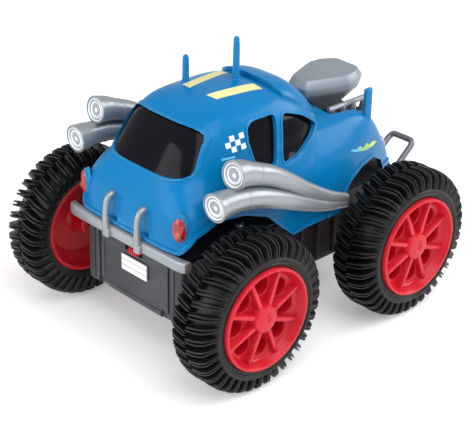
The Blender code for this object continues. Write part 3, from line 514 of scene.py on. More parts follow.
# Each moulding's colour, or the setting that holds it, its roughness and its other traits
MOULDED = {
    # The body's light-blue edge colour is a painted edge highlight along its rims as well as wear
    "body_blue": ("body", 0.24, dict(coat=0.04, depth=0.012, mottle=0.06, edge_wear_and_highlight=0.35, specular=0.14,
                                     worn_and_highlit_colour=(0.1, 0.42, 0.75), rough_spread=0.02)),
    "hub_red": ("hub", 0.26, dict(coat=0.05, depth=0.015, mottle=0.09, edge_wear_and_highlight=0.35, dust=0.1, specular=0.25,
                                  worn_and_highlit_colour=(0.8, 0.08, 0.1), rough_spread=0.03)),
    "tyre_rubber": ((0.005, 0.005, 0.0055), 0.36, dict(
        grain=1400.0, depth=0.05, mottle=0.3, edge_wear_and_highlight=0.3, worn_and_highlit_colour=(0.02, 0.02, 0.022), dust=0.04,
        specular=0.28)),
    "silver_paint": ("trim", 0.32, dict(metallic=0.5, coat=0.15, grain=2600.0, depth=0.01, mottle=0.06,
                                        edge_wear_and_highlight=0.0)),
    "bright_silver": ((0.74, 0.78, 0.8), 0.3, dict(metallic=0.2, coat=0.1, grain=2600.0, depth=0.01,
                                                   mottle=0.05, edge_wear_and_highlight=0.0)),
    "scoop_paint": ((0.25, 0.29, 0.33), 0.38, dict(
        metallic=0.35, grain=2200.0, depth=0.012, edge_wear_and_highlight=0.5, worn_and_highlit_colour=(0.5, 0.53, 0.57))),
    "black_plastic": ((0.008, 0.008, 0.01), 0.42, dict(
        grain=1600.0, depth=0.05, mottle=0.2, edge_wear_and_highlight=0.4, worn_and_highlit_colour=(0.04, 0.04, 0.045), dust=0.05, specular=0.3)),
    "housing_grey": ("housing", 0.42, dict(grain=1500.0, depth=0.05, mottle=0.1, edge_wear_and_highlight=0.4,
                                           worn_and_highlit_colour=(0.09, 0.095, 0.11), specular=0.3)),
    "gunmetal": ((0.16, 0.17, 0.19), 0.34, dict(metallic=0.5, mottle=0.1, edge_wear_and_highlight=0.5,
                                                worn_and_highlit_colour=(0.4, 0.41, 0.43))),
    "smoked_pane": ((0.003, 0.003, 0.006), 0.08, dict(coat=0.03, depth=0.002, mottle=0.2, edge_wear_and_highlight=0.0,
                                                      rough_spread=0.03, specular=0.12)),
    "clear_lens": ((0.8, 0.79, 0.76), 0.1, dict(coat=0.8, depth=0.004, mottle=0.04, edge_wear_and_highlight=0.1)),
    "red_lens": ((0.32, 0.004, 0.006), 0.1, dict(coat=0.6, depth=0.004, mottle=0.1, edge_wear_and_highlight=0.2,
                                                 worn_and_highlit_colour=(0.9, 0.2, 0.1))),
    "amber_lens": ((0.45, 0.07, 0.008), 0.1, dict(coat=0.9, depth=0.004, mottle=0.1, edge_wear_and_highlight=0.2)),
    "steel": ((0.58, 0.58, 0.6), 0.26, dict(metallic=1.0, depth=0.01, mottle=0.06, edge_wear_and_highlight=0.3)),
    "brass": ((0.75, 0.52, 0.22), 0.3, dict(metallic=1.0, depth=0.01, edge_wear_and_highlight=0.3)),
    "motor_can": ((0.46, 0.47, 0.5), 0.34, dict(metallic=1.0, depth=0.01, mottle=0.1, edge_wear_and_highlight=0.3)),
    "white_nylon": ((0.78, 0.77, 0.72), 0.45, dict(mottle=0.05, edge_wear_and_highlight=0.2)),
    "board_green": ((0.015, 0.16, 0.06), 0.3, dict(coat=0.4, grain=400.0, depth=0.03, mottle=0.35, edge_wear_and_highlight=0.3,
                                                   worn_and_highlit_colour=(0.5, 0.45, 0.2))),
    "stripe_yellow": ((0.74, 0.66, 0.3), 0.28, dict(depth=0.01, mottle=0.12, edge_wear_and_highlight=0.1)),
    "decal_white": ((0.78, 0.86, 0.93), 0.28, dict(depth=0.01, mottle=0.05, edge_wear_and_highlight=0.1)),
    "decal_cyan": ((0.12, 0.5, 0.82), 0.28, dict(depth=0.01, mottle=0.1, edge_wear_and_highlight=0.1)),
}
# Each banded film's colours, the edges between them, the axis, the roughness and the coat
BANDED = {
    "cell_wrap": (((0.02, 0.13, 0.05), (0.65, 0.66, 0.68), (0.03, 0.2, 0.07)),
                  (-9.0, -6.0), "X", 0.25, 0.5),
    "label_white": (((0.8, 0.8, 0.79), LABEL_LINE, LABEL_PAPER, LABEL_LINE, LABEL_PAPER),
                    (41.3, 41.7, 44.7, 45.1), "Z", 0.5),
    "flame_green": (((0.62, 0.68, 0.12), (0.3, 0.6, 0.12), (0.12, 0.5, 0.78)), (-44.0, -35.0), "Y", 0.28),
}
LOOKS = {}


def look(name):
    """Each material is made once, when the first piece asks for it."""
    if name in BANDED and name not in LOOKS:
        LOOKS[name] = banded(name, *BANDED[name])
    elif name not in LOOKS:
        colour, rough, traits = MOULDED[name]
        if isinstance(colour, str):
            colour = tuple(getattr(bpy.context.scene.car_colours, colour))
        LOOKS[name] = moulded(name, colour, rough, **traits)
    return LOOKS[name]


# ---------------------------------------------------------------- body forms

def rear_power(z):
    """The plan's rear corners are squarer under the windows than at the roof."""
    share = min(1.0, max(0.0, (z - LOW_REAR_Z) / (HIGH_REAR_Z - LOW_REAR_Z)))
    return LOW_REAR_POWER + share * (HIGH_REAR_POWER - LOW_REAR_POWER)


def cabin_form(name, inset=0.0, floor=None, points=112, rows=4, levels=CABIN_LEVELS):
    """The closed cabin form, inset from the outer surface."""
    rings = []
    low = levels[0][0]
    for z, half_width, rear, front in smooth_row(levels, rows):
        height = z - inset * max(0.0, (z - ROOF_START_Z) / ROOF_HEIGHT)
        if floor is not None and z == low:
            height = floor
        ring = []
        for step in range(points):
            angle = 2 * math.pi * step / points
            side, ahead = math.cos(angle), math.sin(angle)
            power = rear_power(z) if ahead > 0 else FRONT_POWER
            half_length = abs((rear if ahead > 0 else front) - CABIN_CENTRE_Y) - inset
            across = max(LEAST_HALF, half_width - inset) * math.copysign(abs(side) ** (2 / power), side)
            along = max(LEAST_HALF, half_length) * math.copysign(abs(ahead) ** (2 / power), ahead)
            ring.append((across, CABIN_CENTRE_Y + along, height))
        rings.append(ring)
    return lofted(name, rings)


def visor_form(name, inset=0.0, floor=None):
    return cabin_form(name, inset, floor, levels=VISOR_LEVELS)


def hood_form(name, inset=0.0, floor=HOOD_FOOT_Z, rows=4):
    """The closed hood form, inset from the outer surface."""
    rings = []
    for y, top, shoulder, foot in smooth_row(HOOD_SECTIONS, rows):
        crown = top - (inset if y < 20 else 0.0)
        place = y + inset * max(0.0, (HOOD_NOSE_START_Y - y) / HOOD_NOSE_LENGTH)
        half = (
            (0.0, crown + 0.8), (shoulder * 0.5, crown + 0.5), (shoulder * 0.85 - inset, crown - 1.0),
            (shoulder * 1.02 - inset, crown - 6.0),
            (shoulder * 0.35 + foot * 0.65 - inset, (crown + HOOD_FOOT_Z) / 2 + 3.0), (foot - inset, floor),
        )
        half = smooth_row(half, rows)
        right = [(x, place, z) for x, z in half]
        left = [(-x, place, z) for x, z in reversed(half[1:])]
        rings.append(right + left)
    return lofted(name, rings)


def shrunk(outline, margin):
    """The outline moved towards its centre by a margin."""
    centre = [sum(values) / len(outline) for values in zip(*outline)]
    result = []
    for point in outline:
        away = Vector((point[0] - centre[0], point[1] - centre[1]))
        away -= away.normalized() * margin
        result.append((centre[0] + away.x, centre[1] + away.y))
    return result


def eased(outline, steps=4, pull=0.22):
    """The outline with its corners rounded off."""
    result = []
    count = len(outline)
    for i, corner in enumerate(outline):
        corner = Vector(corner)
        before = corner.lerp(Vector(outline[i - 1]), pull)
        after = corner.lerp(Vector(outline[(i + 1) % count]), pull)
        for step in range(steps + 1):
            t = step / steps
            point = before * (1 - t) ** 2 + corner * 2 * t * (1 - t) + after * t**2
            result.append((point.x, point.y))
    return result


def skin(name, form, outer, inner, tool):
    """A thin piece of a form's surface, between two insets and inside a tool's outline."""
    made = combine(form(name, outer), tool, "INTERSECT")
    return cut(made, form(name + "_inner", inner, floor=HOLLOW_FOOT_Z))


def rim(name, outline, span, axis, width, proud):
    """A raised rim round an opening in the cabin."""
    ring = prism(name + "_outline", eased(shrunk(outline, -width)), *span, axis)
    cut(ring, prism(name + "_hole", eased(shrunk(outline, 0.1)), span[0] - 1.0, span[1] + 1.0, axis))
    return skin(name, cabin_form, -proud, 0.6, ring)


# ---------------------------------------------------------------- settings

def colour_setting(name, description, default):
    return FloatVectorProperty(name=name, description=description, subtype="COLOR", size=3, min=0.0,
                               max=1.0, default=default)


class CarColours(bpy.types.PropertyGroup):
    """Colours that a user would change."""

    body: colour_setting("Body", "Colour of the shell, visor and posts", (0.0, 0.162, 0.4))
    hub: colour_setting("Hubs", "Colour of the hubs and the switch", (0.54, 0.006, 0.018))
    trim: colour_setting("Trim", "Colour of the exhausts, bumper and headers", (0.3, 0.325, 0.35))
    housing: colour_setting("Housing", "Colour of the rear gearbox housing", (0.034, 0.037, 0.045))


class CarSizes(bpy.types.PropertyGroup):
    """Sizes that a user would change."""

    lugs: IntProperty(name="Lugs", description="Tread bars in each row", default=40, min=12, max=60)
    groove: FloatProperty(name="Lug groove", description="Depth of the groove along each tread bar",
                          default=0.0026, min=0.0, max=0.004, unit="LENGTH")
    rib: FloatProperty(name="Rib width", description="Width of the ribs between the hub's holes",
                       default=0.0018, min=0.0008, max=0.003, unit="LENGTH")
    stripe: FloatProperty(name="Stripe width", description="Width of each roof stripe",
                          default=0.0062, min=0.002, max=0.01, unit="LENGTH")
    lens: FloatProperty(name="Focal length", description="Focal length of the camera in millimetres",
                        default=117.6, min=20.0, max=300.0)


# ---------------------------------------------------------------- shell

RIM_SPAN_X = (20.0, 50.0)
RIM_SPAN_Y = (50.0, 100.0)


def under_skirt(name):
    """Everything below the shell's lower edge."""
    corners = [(-80.0, HOLLOW_FOOT_Z), (97.0, HOLLOW_FOOT_Z)]
    return prism(name, list(SKIRT_EDGE) + corners, -60.0, 60.0, "X")


def along_skirt(name, height):
    """A strip of a height above the shell's lower edge."""
    top = [(y, z + height) for y, z in reversed(SKIRT_EDGE)]
    return prism(name, list(SKIRT_EDGE) + top, -60.0, 60.0, "X")


class CAR_OT_shell(bpy.types.Operator):
    """Body shell with its window openings, arch lips and window rims"""

    bl_idname = "car.shell"
    bl_label = "Body Shell"

    def execute(self, context):
        shell = combine(cabin_form("coupe_shell"), hood_form("hood"), "UNION")
        cut(shell, cabin_form("cabin_hollow", WALL, HOLLOW_FOOT_Z, 64, 2),
            hood_form("hood_hollow", WALL, HOLLOW_FOOT_Z, 2), under_skirt("skirt"),
            prism("quarter_opening", eased(QUARTER_WINDOW), -50.0, 50.0, "X"),
            prism("front_opening", eased(FRONT_WINDOW), -50.0, 50.0, "X"),
            prism("rear_opening", eased(REAR_WINDOW), *RIM_SPAN_Y, "Y"),
            block("bay_opening", (-22.0, 22.0), (-64.0, -25.0), (77.0, 110.0), 2.5),
            prism("screen_opening", eased(WINDSCREEN), 84.0, 140.0, "Z"))
        for _, side in SIDES:
            cut(shell, side_block("flute", side, 7.4, 16.0, (91.0, 99.0), (60.0, 87.0), 1.2))
        done(shell, "body_blue", replaces=("body_shell",))

        rims = [rim("quarter_rim_left", QUARTER_WINDOW, RIM_SPAN_X, "X", 1.2, 0.35),
                rim("front_rim_left", FRONT_WINDOW, RIM_SPAN_X, "X", 1.2, 0.35)]
        rims += [mirrored(made) for made in rims]
        rims.append(rim("rear_rim", REAR_WINDOW, RIM_SPAN_Y, "Y", 1.5, 0.5))
        done(joined("window_rims", rims), "body_blue")
        lips = [skin(name, form, -0.7, 0.9, along_skirt("lip", 1.8))
                for name, form in (("cabin_lip", cabin_form), ("hood_lip", hood_form))]
        cut(lips[0], block("behind", (-60.0, 60.0), (-90.0, -6.0), (40.0, 90.0)))
        cut(lips[1], block("ahead", (-60.0, 60.0), (-4.0, 60.0), (40.0, 90.0)))
        done(joined("arch_lips", lips), "body_blue")
        return {"FINISHED"}


class CAR_OT_visor(bpy.types.Operator):
    """Raised visor that fills the windscreen opening"""

    bl_idname = "car.visor"
    bl_label = "Visor"

    def execute(self, context):
        outline = prism("visor_outline", eased(shrunk(WINDSCREEN, 0.5)), VISOR_FOOT_Z, 140.0, "Z")
        done(skin("visor", visor_form, 0.0, VISOR_THICKNESS, outline), "body_blue",
             replaces=("windscreen_visor",))
        return {"FINISHED"}


class CAR_OT_windows(bpy.types.Operator):
    """Rear window and the two side window panes"""

    bl_idname = "car.windows"
    bl_label = "Windows"

    def execute(self, context):
        rear = skin("rear_glass", cabin_form, 0.5, 1.7,
                    prism("rear_outline", eased(shrunk(REAR_WINDOW, 0.1)), *RIM_SPAN_Y, "Y"))
        done(rear, "smoked_pane", replaces=("rear_window",))
        left = skin("side_glass_left", cabin_form, WALL + 0.2, WALL + 1.6,
                    prism("side_outline", SIDE_PANE, 24.8, 50.0, "X"))
        done_both(left, "smoked_pane", "side_window")
        return {"FINISHED"}


class CAR_OT_posts(bpy.types.Operator):
    """Roof posts with their collars, and the fin on the hood"""

    bl_idname = "car.posts"
    bl_label = "Posts"

    def execute(self, context):
        upright = (0.0, 0.0, 1.0)
        for name, x, y, foot, top, roof in ROOF_POSTS:
            profile = [(foot, 0.0), (foot, POST_RADIUS)]
            profile += [(top - down, POST_RADIUS * share) for down, share in POST_END]
            rod_and_collar = [
                turned(name + "_rod", profile, 28),
                turned(name + "_collar", [(roof + up, radius) for up, radius in POST_COLLAR], 28)]
            for part in rod_and_collar:
                moved(part, (x, y, 0.0), upright)
            done(joined(name + "_tip", rod_and_collar), "body_blue", replaces=(name,))
        fin = block("hood_post_tip", (-26.6, -24.0), (-51.4, -46.6), (84.0, 107.8), 0.8)
        done(fin, "body_blue", replaces=("hood_post",))
        return {"FINISHED"}


# ---------------------------------------------------------------- engine

SCOOP_CENTRE_Y = -40.5
# Half outline of the scoop as place and half width, then the share of it at each height
SCOOP_HALF = ((-19.0, 0.0), (-21.5, 7.0), (-45.0, 15.4), (-54.0, 14.6), (-62.5, 9.0))
SCOOP_LEVELS = ((92.0, 0.42), (95.5, 0.52), (101.0, 0.8), (104.0, 0.95), (108.0, 1.0), (112.2, 0.86))
COVER_BOLTS = (-53.0, -44.0, -35.0)
RAIL_X = 18.5
RAIL_Z = 99.6
STUB_PLACES = (-53.5, -45.5, -37.5, -29.5)
STUB_PATH = ((RAIL_X, RAIL_Z), (18.1, 95.6), (17.0, 91.8), (14.6, 87.4))
STUB_RADII = (1.5, 1.8, 1.9, 1.9)


class CAR_OT_scoop(bpy.types.Operator):
    """Air scoop on top of the engine"""

    bl_idname = "car.scoop"
    bl_label = "Air Scoop"

    def execute(self, context):
        outline = [(x, y) for y, x in SCOOP_HALF] + [(-x, y) for y, x in reversed(SCOOP_HALF[1:])]
        outline = eased(outline, 3, 0.2)
        rings = [[(x * share, SCOOP_CENTRE_Y + (y - SCOOP_CENTRE_Y) * share, z) for x, y in outline]
                 for z, share in SCOOP_LEVELS]
        scoop = rounded(lofted("scoop", rings), 0.5, 2, 18.0)
        cut(scoop, block("mouth", (-6.6, 6.6), (-66.0, -57.5), (104.4, 109.0), 0.8))
        vanes = [block("vane", (x - 0.5, x + 0.5), (-61.4, -57.8), (104.2, 109.2), 0.2)
                 for x in (-3.4, 0.0, 3.4)]
        done(joined("scoop", [scoop] + vanes), "scoop_paint", replaces=("air_scoop",), angle=24.0)
        return {"FINISHED"}


class CAR_OT_engine(bpy.types.Operator):
    """Engine block with fins, covers and pulley, and the header pipes"""

    bl_idname = "car.engine"
    bl_label = "Engine"

    def execute(self, context):
        parts = [block("crankcase", (-12.6, 12.6), (-59.6, -28.4), (59.0, 83.5), 1.0)]
        fin = block("fin", (-12.9, 12.9), (-59.4, -58.0), (83.0, 89.6), 0.4)
        parts.append(repeated(fin, 11, step=(0.0, 2.9, 0.0)))
        for _, side in SIDES:
            parts.append(side_block("cover", side, 3.6, 11.4, (-57.5, -30.5), (86.0, 92.0), 1.6))
            parts += [rod("bolt", 1.0, 91.0, 92.8, "Z", (side * 7.5, y), 6, 0.2) for y in COVER_BOLTS]
        parts.append(rod("pulley", 6.5, -61.6, -59.0, "Y", (0.0, 82.0), 32, 0.5))
        done(joined("engine", parts), "black_plastic", replaces=("engine_block",))
        for name, side in SIDES:
            parts = [tube("rail", [(side * RAIL_X, y, RAIL_Z) for y in (-56.4, -50.0, -36.0, -26.6)],
                          (1.5,) * 4)]
            for y in STUB_PLACES:
                parts.append(tube("stub", [(side * x, y, z) for x, z in STUB_PATH], STUB_RADII))
                ring = turned("flange", [(-0.6, 0.0), (-0.6, 2.6), (0.6, 2.6), (0.6, 0.0)], 24)
                parts.append(moved(rounded(ring, 0.25, 2), (side * 15.4, y, 88.6), (side * 0.5, 0.0, 0.86)))
            done(joined(f"headers_{name}", parts), "silver_paint", replaces=(f"header_{name}",))
        return {"FINISHED"}


# ---------------------------------------------------------------- exhausts and trim

EXHAUST_RADII = (2.6, 3.2, 4.1, 4.8, 5.3, 5.7, 6.7, 7.1)
EXHAUST_UPPER = ((46.2, -12.0, 64.8), (47.6, 2.0, 70.8), (49.6, 20.0, 80.8), (50.6, 36.0, 91.2),
                 (50.4, 48.0, 98.0), (50.2, 58.0, 101.8), (50.0, 65.5, 104.2), (50.2, 70.0, 104.8))
EXHAUST_LOWER = ((46.2, -12.0, 62.2), (48.6, 6.0, 67.6), (50.8, 24.0, 75.6), (52.0, 40.0, 83.2),
                 (52.0, 55.0, 89.2), (51.4, 67.0, 91.8), (50.9, 77.0, 92.6), (51.1, 82.4, 92.4))
PIPE_STEPS = 5
SEAM_INDEX = 24
SEAM_PROFILE = ((-0.5, -0.4), (-0.5, 0.05), (-0.2, 0.18), (0.2, 0.18), (0.5, 0.05), (0.5, -0.4))
TIP_PROFILE = ((-2.6, 0.0), (-2.6, 6.9), (-0.4, 7.2), (0.3, 7.3), (0.7, 7.1), (0.8, 6.6), (0.2, 6.3),
               (-1.0, 6.2), (-1.2, 0.0))
DISC_PROFILE = ((-1.4, 0.0), (-1.4, 6.1), (0.5, 6.1), (0.7, 5.8), (0.5, 5.4), (-0.5, 5.1), (-0.5, 4.7),
                (0.1, 4.4), (0.3, 3.9), (0.1, 3.4), (-0.3, 3.0), (-0.4, 2.2), (-0.1, 1.5), (0.1, 0.8),
                (0.2, 0.0))


class CAR_OT_exhausts(bpy.types.Operator):
    """Two pairs of side pipes with ringed tips"""

    bl_idname = "car.exhausts"
    bl_label = "Exhausts"

    def execute(self, context):
        pipes = []
        discs = []
        for name, path in (("upper", EXHAUST_UPPER), ("lower", EXHAUST_LOWER)):
            heading = Vector(path[-1]) - Vector(path[-2])
            row = smooth_row([(*point, radius) for point, radius in zip(path, EXHAUST_RADII)], PIPE_STEPS)
            before, here, after = row[SEAM_INDEX - 1:SEAM_INDEX + 2]
            seam = turned(name + "_seam", [(x, here[3] + up) for x, up in SEAM_PROFILE], 40, True)
            pipes += [tube(name, path, EXHAUST_RADII, PIPE_STEPS, 9),
                      moved(turned(name + "_tip", TIP_PROFILE, 48), path[-1], heading),
                      moved(seam, here[:3], Vector(after[:3]) - Vector(before[:3]))]
            discs.append(moved(turned(name + "_disc", DISC_PROFILE, 48), path[-1], heading))
        done_both(joined("side_pipes_left", pipes), "silver_paint", "exhaust")
        done_both(joined("pipe_discs_left", discs), "bright_silver")
        return {"FINISHED"}


NOSE_BAR_HALF = ((8.2, -71.0, 33.6), (8.2, -80.0, 34.6), (8.2, -88.0, 36.8), (8.2, -97.0, 42.5),
                 (8.2, -104.0, 48.2), (8.1, -108.0, 51.4), (7.0, -109.8, 53.0), (5.0, -110.2, 53.4))
NOSE_BAR_RADIUS = 1.78
HEADLAMP_PLACE = (14.5, -70.6, 66.5)
HEADLAMP_LENS = ((-1.0, 0.0), (-1.0, 3.5), (2.2, 3.5), (3.2, 2.7), (3.8, 1.4), (3.9, 0.0))
HEADLAMP_BEZEL = ((-0.8, 3.4), (-0.8, 4.9), (1.6, 4.7), (2.5, 4.2), (2.6, 3.7), (2.0, 3.45))


class CAR_OT_front_trim(bpy.types.Operator):
    """Push bar and headlights"""

    bl_idname = "car.front_trim"
    bl_label = "Front Trim"

    def execute(self, context):
        path = list(NOSE_BAR_HALF) + [(-x, y, z) for x, y, z in reversed(NOSE_BAR_HALF)]
        parts = [tube("bar", path, (NOSE_BAR_RADIUS,) * len(path), 4, 5),
                 block("plate", (-11.8, 11.8), (-74.8, -72.5), (30.2, 37.8), 0.7)]
        parts += [rod("bolt", 1.4, -75.8, -74.6, "Y", (x, 34.0), 6, 0.25) for x in (-3.6, 3.6)]
        done(joined("nose_bar", parts), "gunmetal", replaces=("push_bar",))
        ahead = (0.0, -1.0, 0.0)
        for name, side in SIDES:
            place = (side * HEADLAMP_PLACE[0], *HEADLAMP_PLACE[1:])
            lens = moved(turned(f"headlamp_{name}", HEADLAMP_LENS, 36), place, ahead)
            done(lens, "clear_lens", replaces=(f"headlight_{name}",))
            bezel = turned(f"headlamp_bezel_{name}", HEADLAMP_BEZEL, 36, True)
            done(moved(bezel, place, ahead), "silver_paint")
        return {"FINISHED"}


BUMPER_SECTION = ((-2.2, -2.0), (-1.4, -3.0), (1.4, -3.0), (2.2, -2.2), (2.2, 2.2), (1.4, 3.0),
                  (-1.4, 3.0), (-2.2, 2.0))
# Stations along the bumper: place across the car, middle of the section and its share of full size
BUMPER_STATIONS = ((-43.2, 91.4, 0.92), (-41.5, 92.1, 1.0), (-38.0, 92.9, 1.0), (-13.0, 93.2, 1.0),
                   (13.0, 93.2, 1.0), (38.0, 92.9, 1.0), (41.5, 92.1, 1.0), (43.2, 91.4, 0.92))
BUMPER_Z = 61.0
OVERRIDER_X = 11.7
OVERRIDER_PATH = ((95.3, 58.8), (96.0, 63.0), (96.2, 68.0), (96.0, 73.0), (95.4, 76.4), (94.2, 78.6),
                  (92.4, 79.6), (90.6, 79.6))
OVERRIDER_RADII = (1.9, 1.9, 1.7, 1.6, 1.6, 1.6, 1.6, 1.5)
TAIL_LIGHT_PLACE = (34.9, 89.7, 77.2)
TAIL_LENS = ((-2.0, 0.0), (-2.0, 3.4), (1.0, 3.4), (1.8, 2.8), (2.3, 1.6), (2.5, 0.0))
TAIL_BEZEL = ((-2.0, 3.3), (-2.0, 4.1), (-0.2, 3.9), (0.5, 3.7), (0.6, 3.45))
TAIL_AMBER = ((0.0, 0.0), (0.0, 1.7), (2.1, 1.5), (2.6, 0.9), (2.7, 0.0))
TAIL_STRETCH = 1.8
AMBER_STRETCH = 1.4
AMBER_DROP = 1.6
TAIL_LIGHT_TURN = math.radians(28.0)


class CAR_OT_rear_trim(bpy.types.Operator):
    """Rear bumper with its overriders, and the tail lights"""

    bl_idname = "car.rear_trim"
    bl_label = "Rear Trim"

    def execute(self, context):
        rings = [[(x, y + across * share, BUMPER_Z + up * share) for across, up in BUMPER_SECTION]
                 for x, y, share in BUMPER_STATIONS]
        parts = [rounded(lofted("bar", rings), 0.5, 3, 20.0)]
        for _, side in SIDES:
            x = side * OVERRIDER_X
            parts.append(tube("overrider", [(x, y, z) for y, z in OVERRIDER_PATH], OVERRIDER_RADII, 4, 5))
            parts.append(block("foot", (x - 2.4, x + 2.4), (93.0, 97.2), (57.6, 62.4), 1.1))
        done(joined("bumper", parts), "silver_paint", replaces=("rear_bumper",))
        for name, side in SIDES:
            turn = (math.sin(TAIL_LIGHT_TURN) * side, math.cos(TAIL_LIGHT_TURN), 0.0)
            x, y, z = TAIL_LIGHT_PLACE
            for part, finish, profile, steps, stretch, drop in (
                    ("lens", "red_lens", TAIL_LENS, 40, TAIL_STRETCH, 0.0),
                    ("bezel", "body_blue", TAIL_BEZEL, 40, TAIL_STRETCH, 0.0),
                    ("amber", "amber_lens", TAIL_AMBER, 28, AMBER_STRETCH, AMBER_DROP)):
                made = turned(f"tail_{part}_{name}", profile, steps, part == "bezel")
                made.data.transform(Matrix.Diagonal((1.0, 1.0, stretch, 1.0)))
                moved(made, (side * x, y, z - drop), turn)
                done(made, finish, replaces=(f"tail_light_{name}",) if part == "lens" else ())
        return {"FINISHED"}


# ---------------------------------------------------------------- chassis

AXLE_BORE = 1.8
# Bosses round the axles on the housing and on the tub, as place and radius
REAR_BOSS = ((32.0, 2.0), (32.0, 7.5), (36.6, 7.0), (37.4, 6.4), (37.4, 2.0))
FRONT_BOSS = ((31.0, 2.0), (31.0, 7.5), (34.4, 7.0), (35.4, 6.0), (35.4, 2.0))
TUB_FLOOR_Z = 24.0
GRIPS = (-4.1, -2.5, -0.9, 0.7)
SCREW_HEAD = ((-1.2, 0.0), (-1.2, 1.9), (0.0, 2.1), (0.6, 1.8), (0.95, 1.0), (1.0, 0.0))


def tub_outline(inset, rear):
    half = ((33.0 - inset, rear - inset), (33.0 - inset, -50.0), (24.0 - inset, -72.0 + inset))
    return list(half) + [(-x, y) for x, y in reversed(half)]


def axle_bore(y):
    return rod("bore", AXLE_BORE, -60.0, 60.0, "X", (y, AXLE_Z))


def axle_boss(profile, y, side):
    return moved(turned("boss", profile, 40, True), (0.0, y, AXLE_Z),
                 Matrix.Rotation(0.0 if side > 0 else math.pi, 4, "Z"))


def screw_head(name, place):
    """A pan head with a cross recess, seen from below."""
    head = turned(name, SCREW_HEAD, 24)
    for half_y, half_z in ((0.225, 1.3), (1.3, 0.225)):
        cut(head, block("cross", (0.4, 2.0), (-half_y, half_y), (-half_z, half_z)))
    return moved(head, place, (0.0, 0.0, -1.0))


class CAR_OT_housing(bpy.types.Operator):
    """Rear gearbox housing, power switch and blank label"""

    bl_idname = "car.housing"
    bl_label = "Rear Housing"

    def execute(self, context):
        box = block("gearbox_case", (-35.4, 35.4), (36.0, 88.6), (22.7, 56.0), 1.3)
        cut(box, block("inside", (-33.6, 33.6), (37.8, 86.2), (24.5, 60.0)), axle_bore(REAR_AXLE_Y),
            block("slot", (-6.5, 6.5), (84.0, 92.0), (50.0, 54.6), 0.5),
            block("panel", (-23.0, 23.0), (88.1, 92.0), (26.0, 48.5), 0.4))
        for _, side in SIDES:
            cut(box, side_block("groove", side, 25.0, 26.8, (87.5, 92.0), (18.0, 53.0), 0.3),
                side_block("groove", side, 29.4, 30.4, (88.0, 92.0), (25.0, 53.0), 0.2),
                side_block("notch", side, 20.0, 27.5, (86.9, 92.0), (18.0, 27.0), 0.4))
        parts = [box]
        for _, side in SIDES:
            parts.append(axle_boss(REAR_BOSS, REAR_AXLE_Y, side))
            parts += [side_block("side_rib", side, 35.0, 36.2, (y, y + 1.6), (25.0, 54.0), 0.4)
                      for y in (44.0, 54.0)]
            parts.append(rod("foot_pad", 3.0, 22.8, 23.6, "Z", (side * 27.0, 80.0), 28, 0.25))
        parts += [screw_head("case_screw", (x, y, 22.9)) for x in (-16.0, 16.0) for y in (43.0, 81.0)]
        done(joined("gearbox_case", parts), "housing_grey", replaces=("rear_housing",))

        knob = block("slide_knob", (-4.9, 1.9), (85.8, 91.0), (50.6, 54.0), 0.5)
        cut(knob, *[block("grip", (x, x + 0.8), (90.3, 92.0), (49.0, 56.0)) for x in GRIPS])
        done(knob, "hub_red", body="power_switch", replaces=("switch_knob",))
        label = block("blank_label", (-10.0, 8.8), (88.3, 89.2), (38.6, 47.2), 0.25, 2)
        done(label, "label_white", replaces=("rear_label",))
        return {"FINISHED"}


class CAR_OT_chassis(bpy.types.Operator):
    """Battery tub, its door and the deck"""

    bl_idname = "car.chassis"
    bl_label = "Chassis"

    def execute(self, context):
        tub = rounded(prism("tub", tub_outline(0.0, 35.6), TUB_FLOOR_Z, 56.0, "Z"), 1.4)
        cut(tub, prism("inside", tub_outline(WALL, 35.6), TUB_FLOOR_Z + WALL, 70.0, "Z"),
            block("door_hole", (-28.0, 28.0), (-31.5, 33.4), (20.0, 27.0), 0.6), axle_bore(FRONT_AXLE_Y))
        parts = [tub]
        for _, side in SIDES:
            parts.append(axle_boss(FRONT_BOSS, FRONT_AXLE_Y, side))
            parts += [side_block("side_rib", side, 32.6, 33.9, (y, y + 1.8), (26.0, 54.0), 0.4)
                      for y in (-20.0, -8.0, 4.0, 16.0, 28.0)]
        done(joined("tub", parts), "black_plastic", replaces=("chassis_tub",))

        door = block("cell_door", (-27.7, 27.7), (-31.2, 33.1), (TUB_FLOOR_Z, TUB_FLOOR_Z + WALL), 0.5)
        cut(door, rod("screw_hole", 1.6, 20.0, 30.0, "Z", (0.0, -28.6)))
        slat = block("slat", (-22.0, 22.0), (-20.0, -18.6), (23.5, 24.6), 0.3)
        done(joined("cell_door", [door, repeated(slat, 9, step=(0.0, 5.4, 0.0))]), "black_plastic",
             replaces=("battery_door",))
        deck = rounded(prism("deck", tub_outline(0.0, 86.0), 56.3, 58.3, "Z"), 0.5, 2)
        cut(deck, *[rod("hole", 1.3, 50.0, 62.0, "Z", place, 16)
                    for place in ((-27.0, -20.0), (27.0, -20.0), (-24.0, 40.5), (24.0, 40.5))])
        done(deck, "black_plastic", replaces=("chassis_deck",))
        return {"FINISHED"}


# ---------------------------------------------------------------- wheels

# End, side, axle and turn from a left wheel's shape
WHEELS = (("rear", "left", REAR_AXLE_Y, 0.0), ("rear", "right", REAR_AXLE_Y, math.pi),
          ("front", "left", FRONT_AXLE_Y, 0.0), ("front", "right", FRONT_AXLE_Y, math.pi))
CARCASS = (
    (54.2, 26.5), (53.0, 29.0), (52.6, 31.4), (53.2, 33.4), (55.5, 34.8), (59.0, 35.3), (64.0, 35.4),
    (69.0, 34.6), (72.4, 33.0), (74.2, 31.8), (74.9, 31.4), (75.9, 31.0), (76.3, 30.4), (76.3, 29.6),
    (75.9, 29.1), (75.9, 27.4), (75.5, 26.5),
)
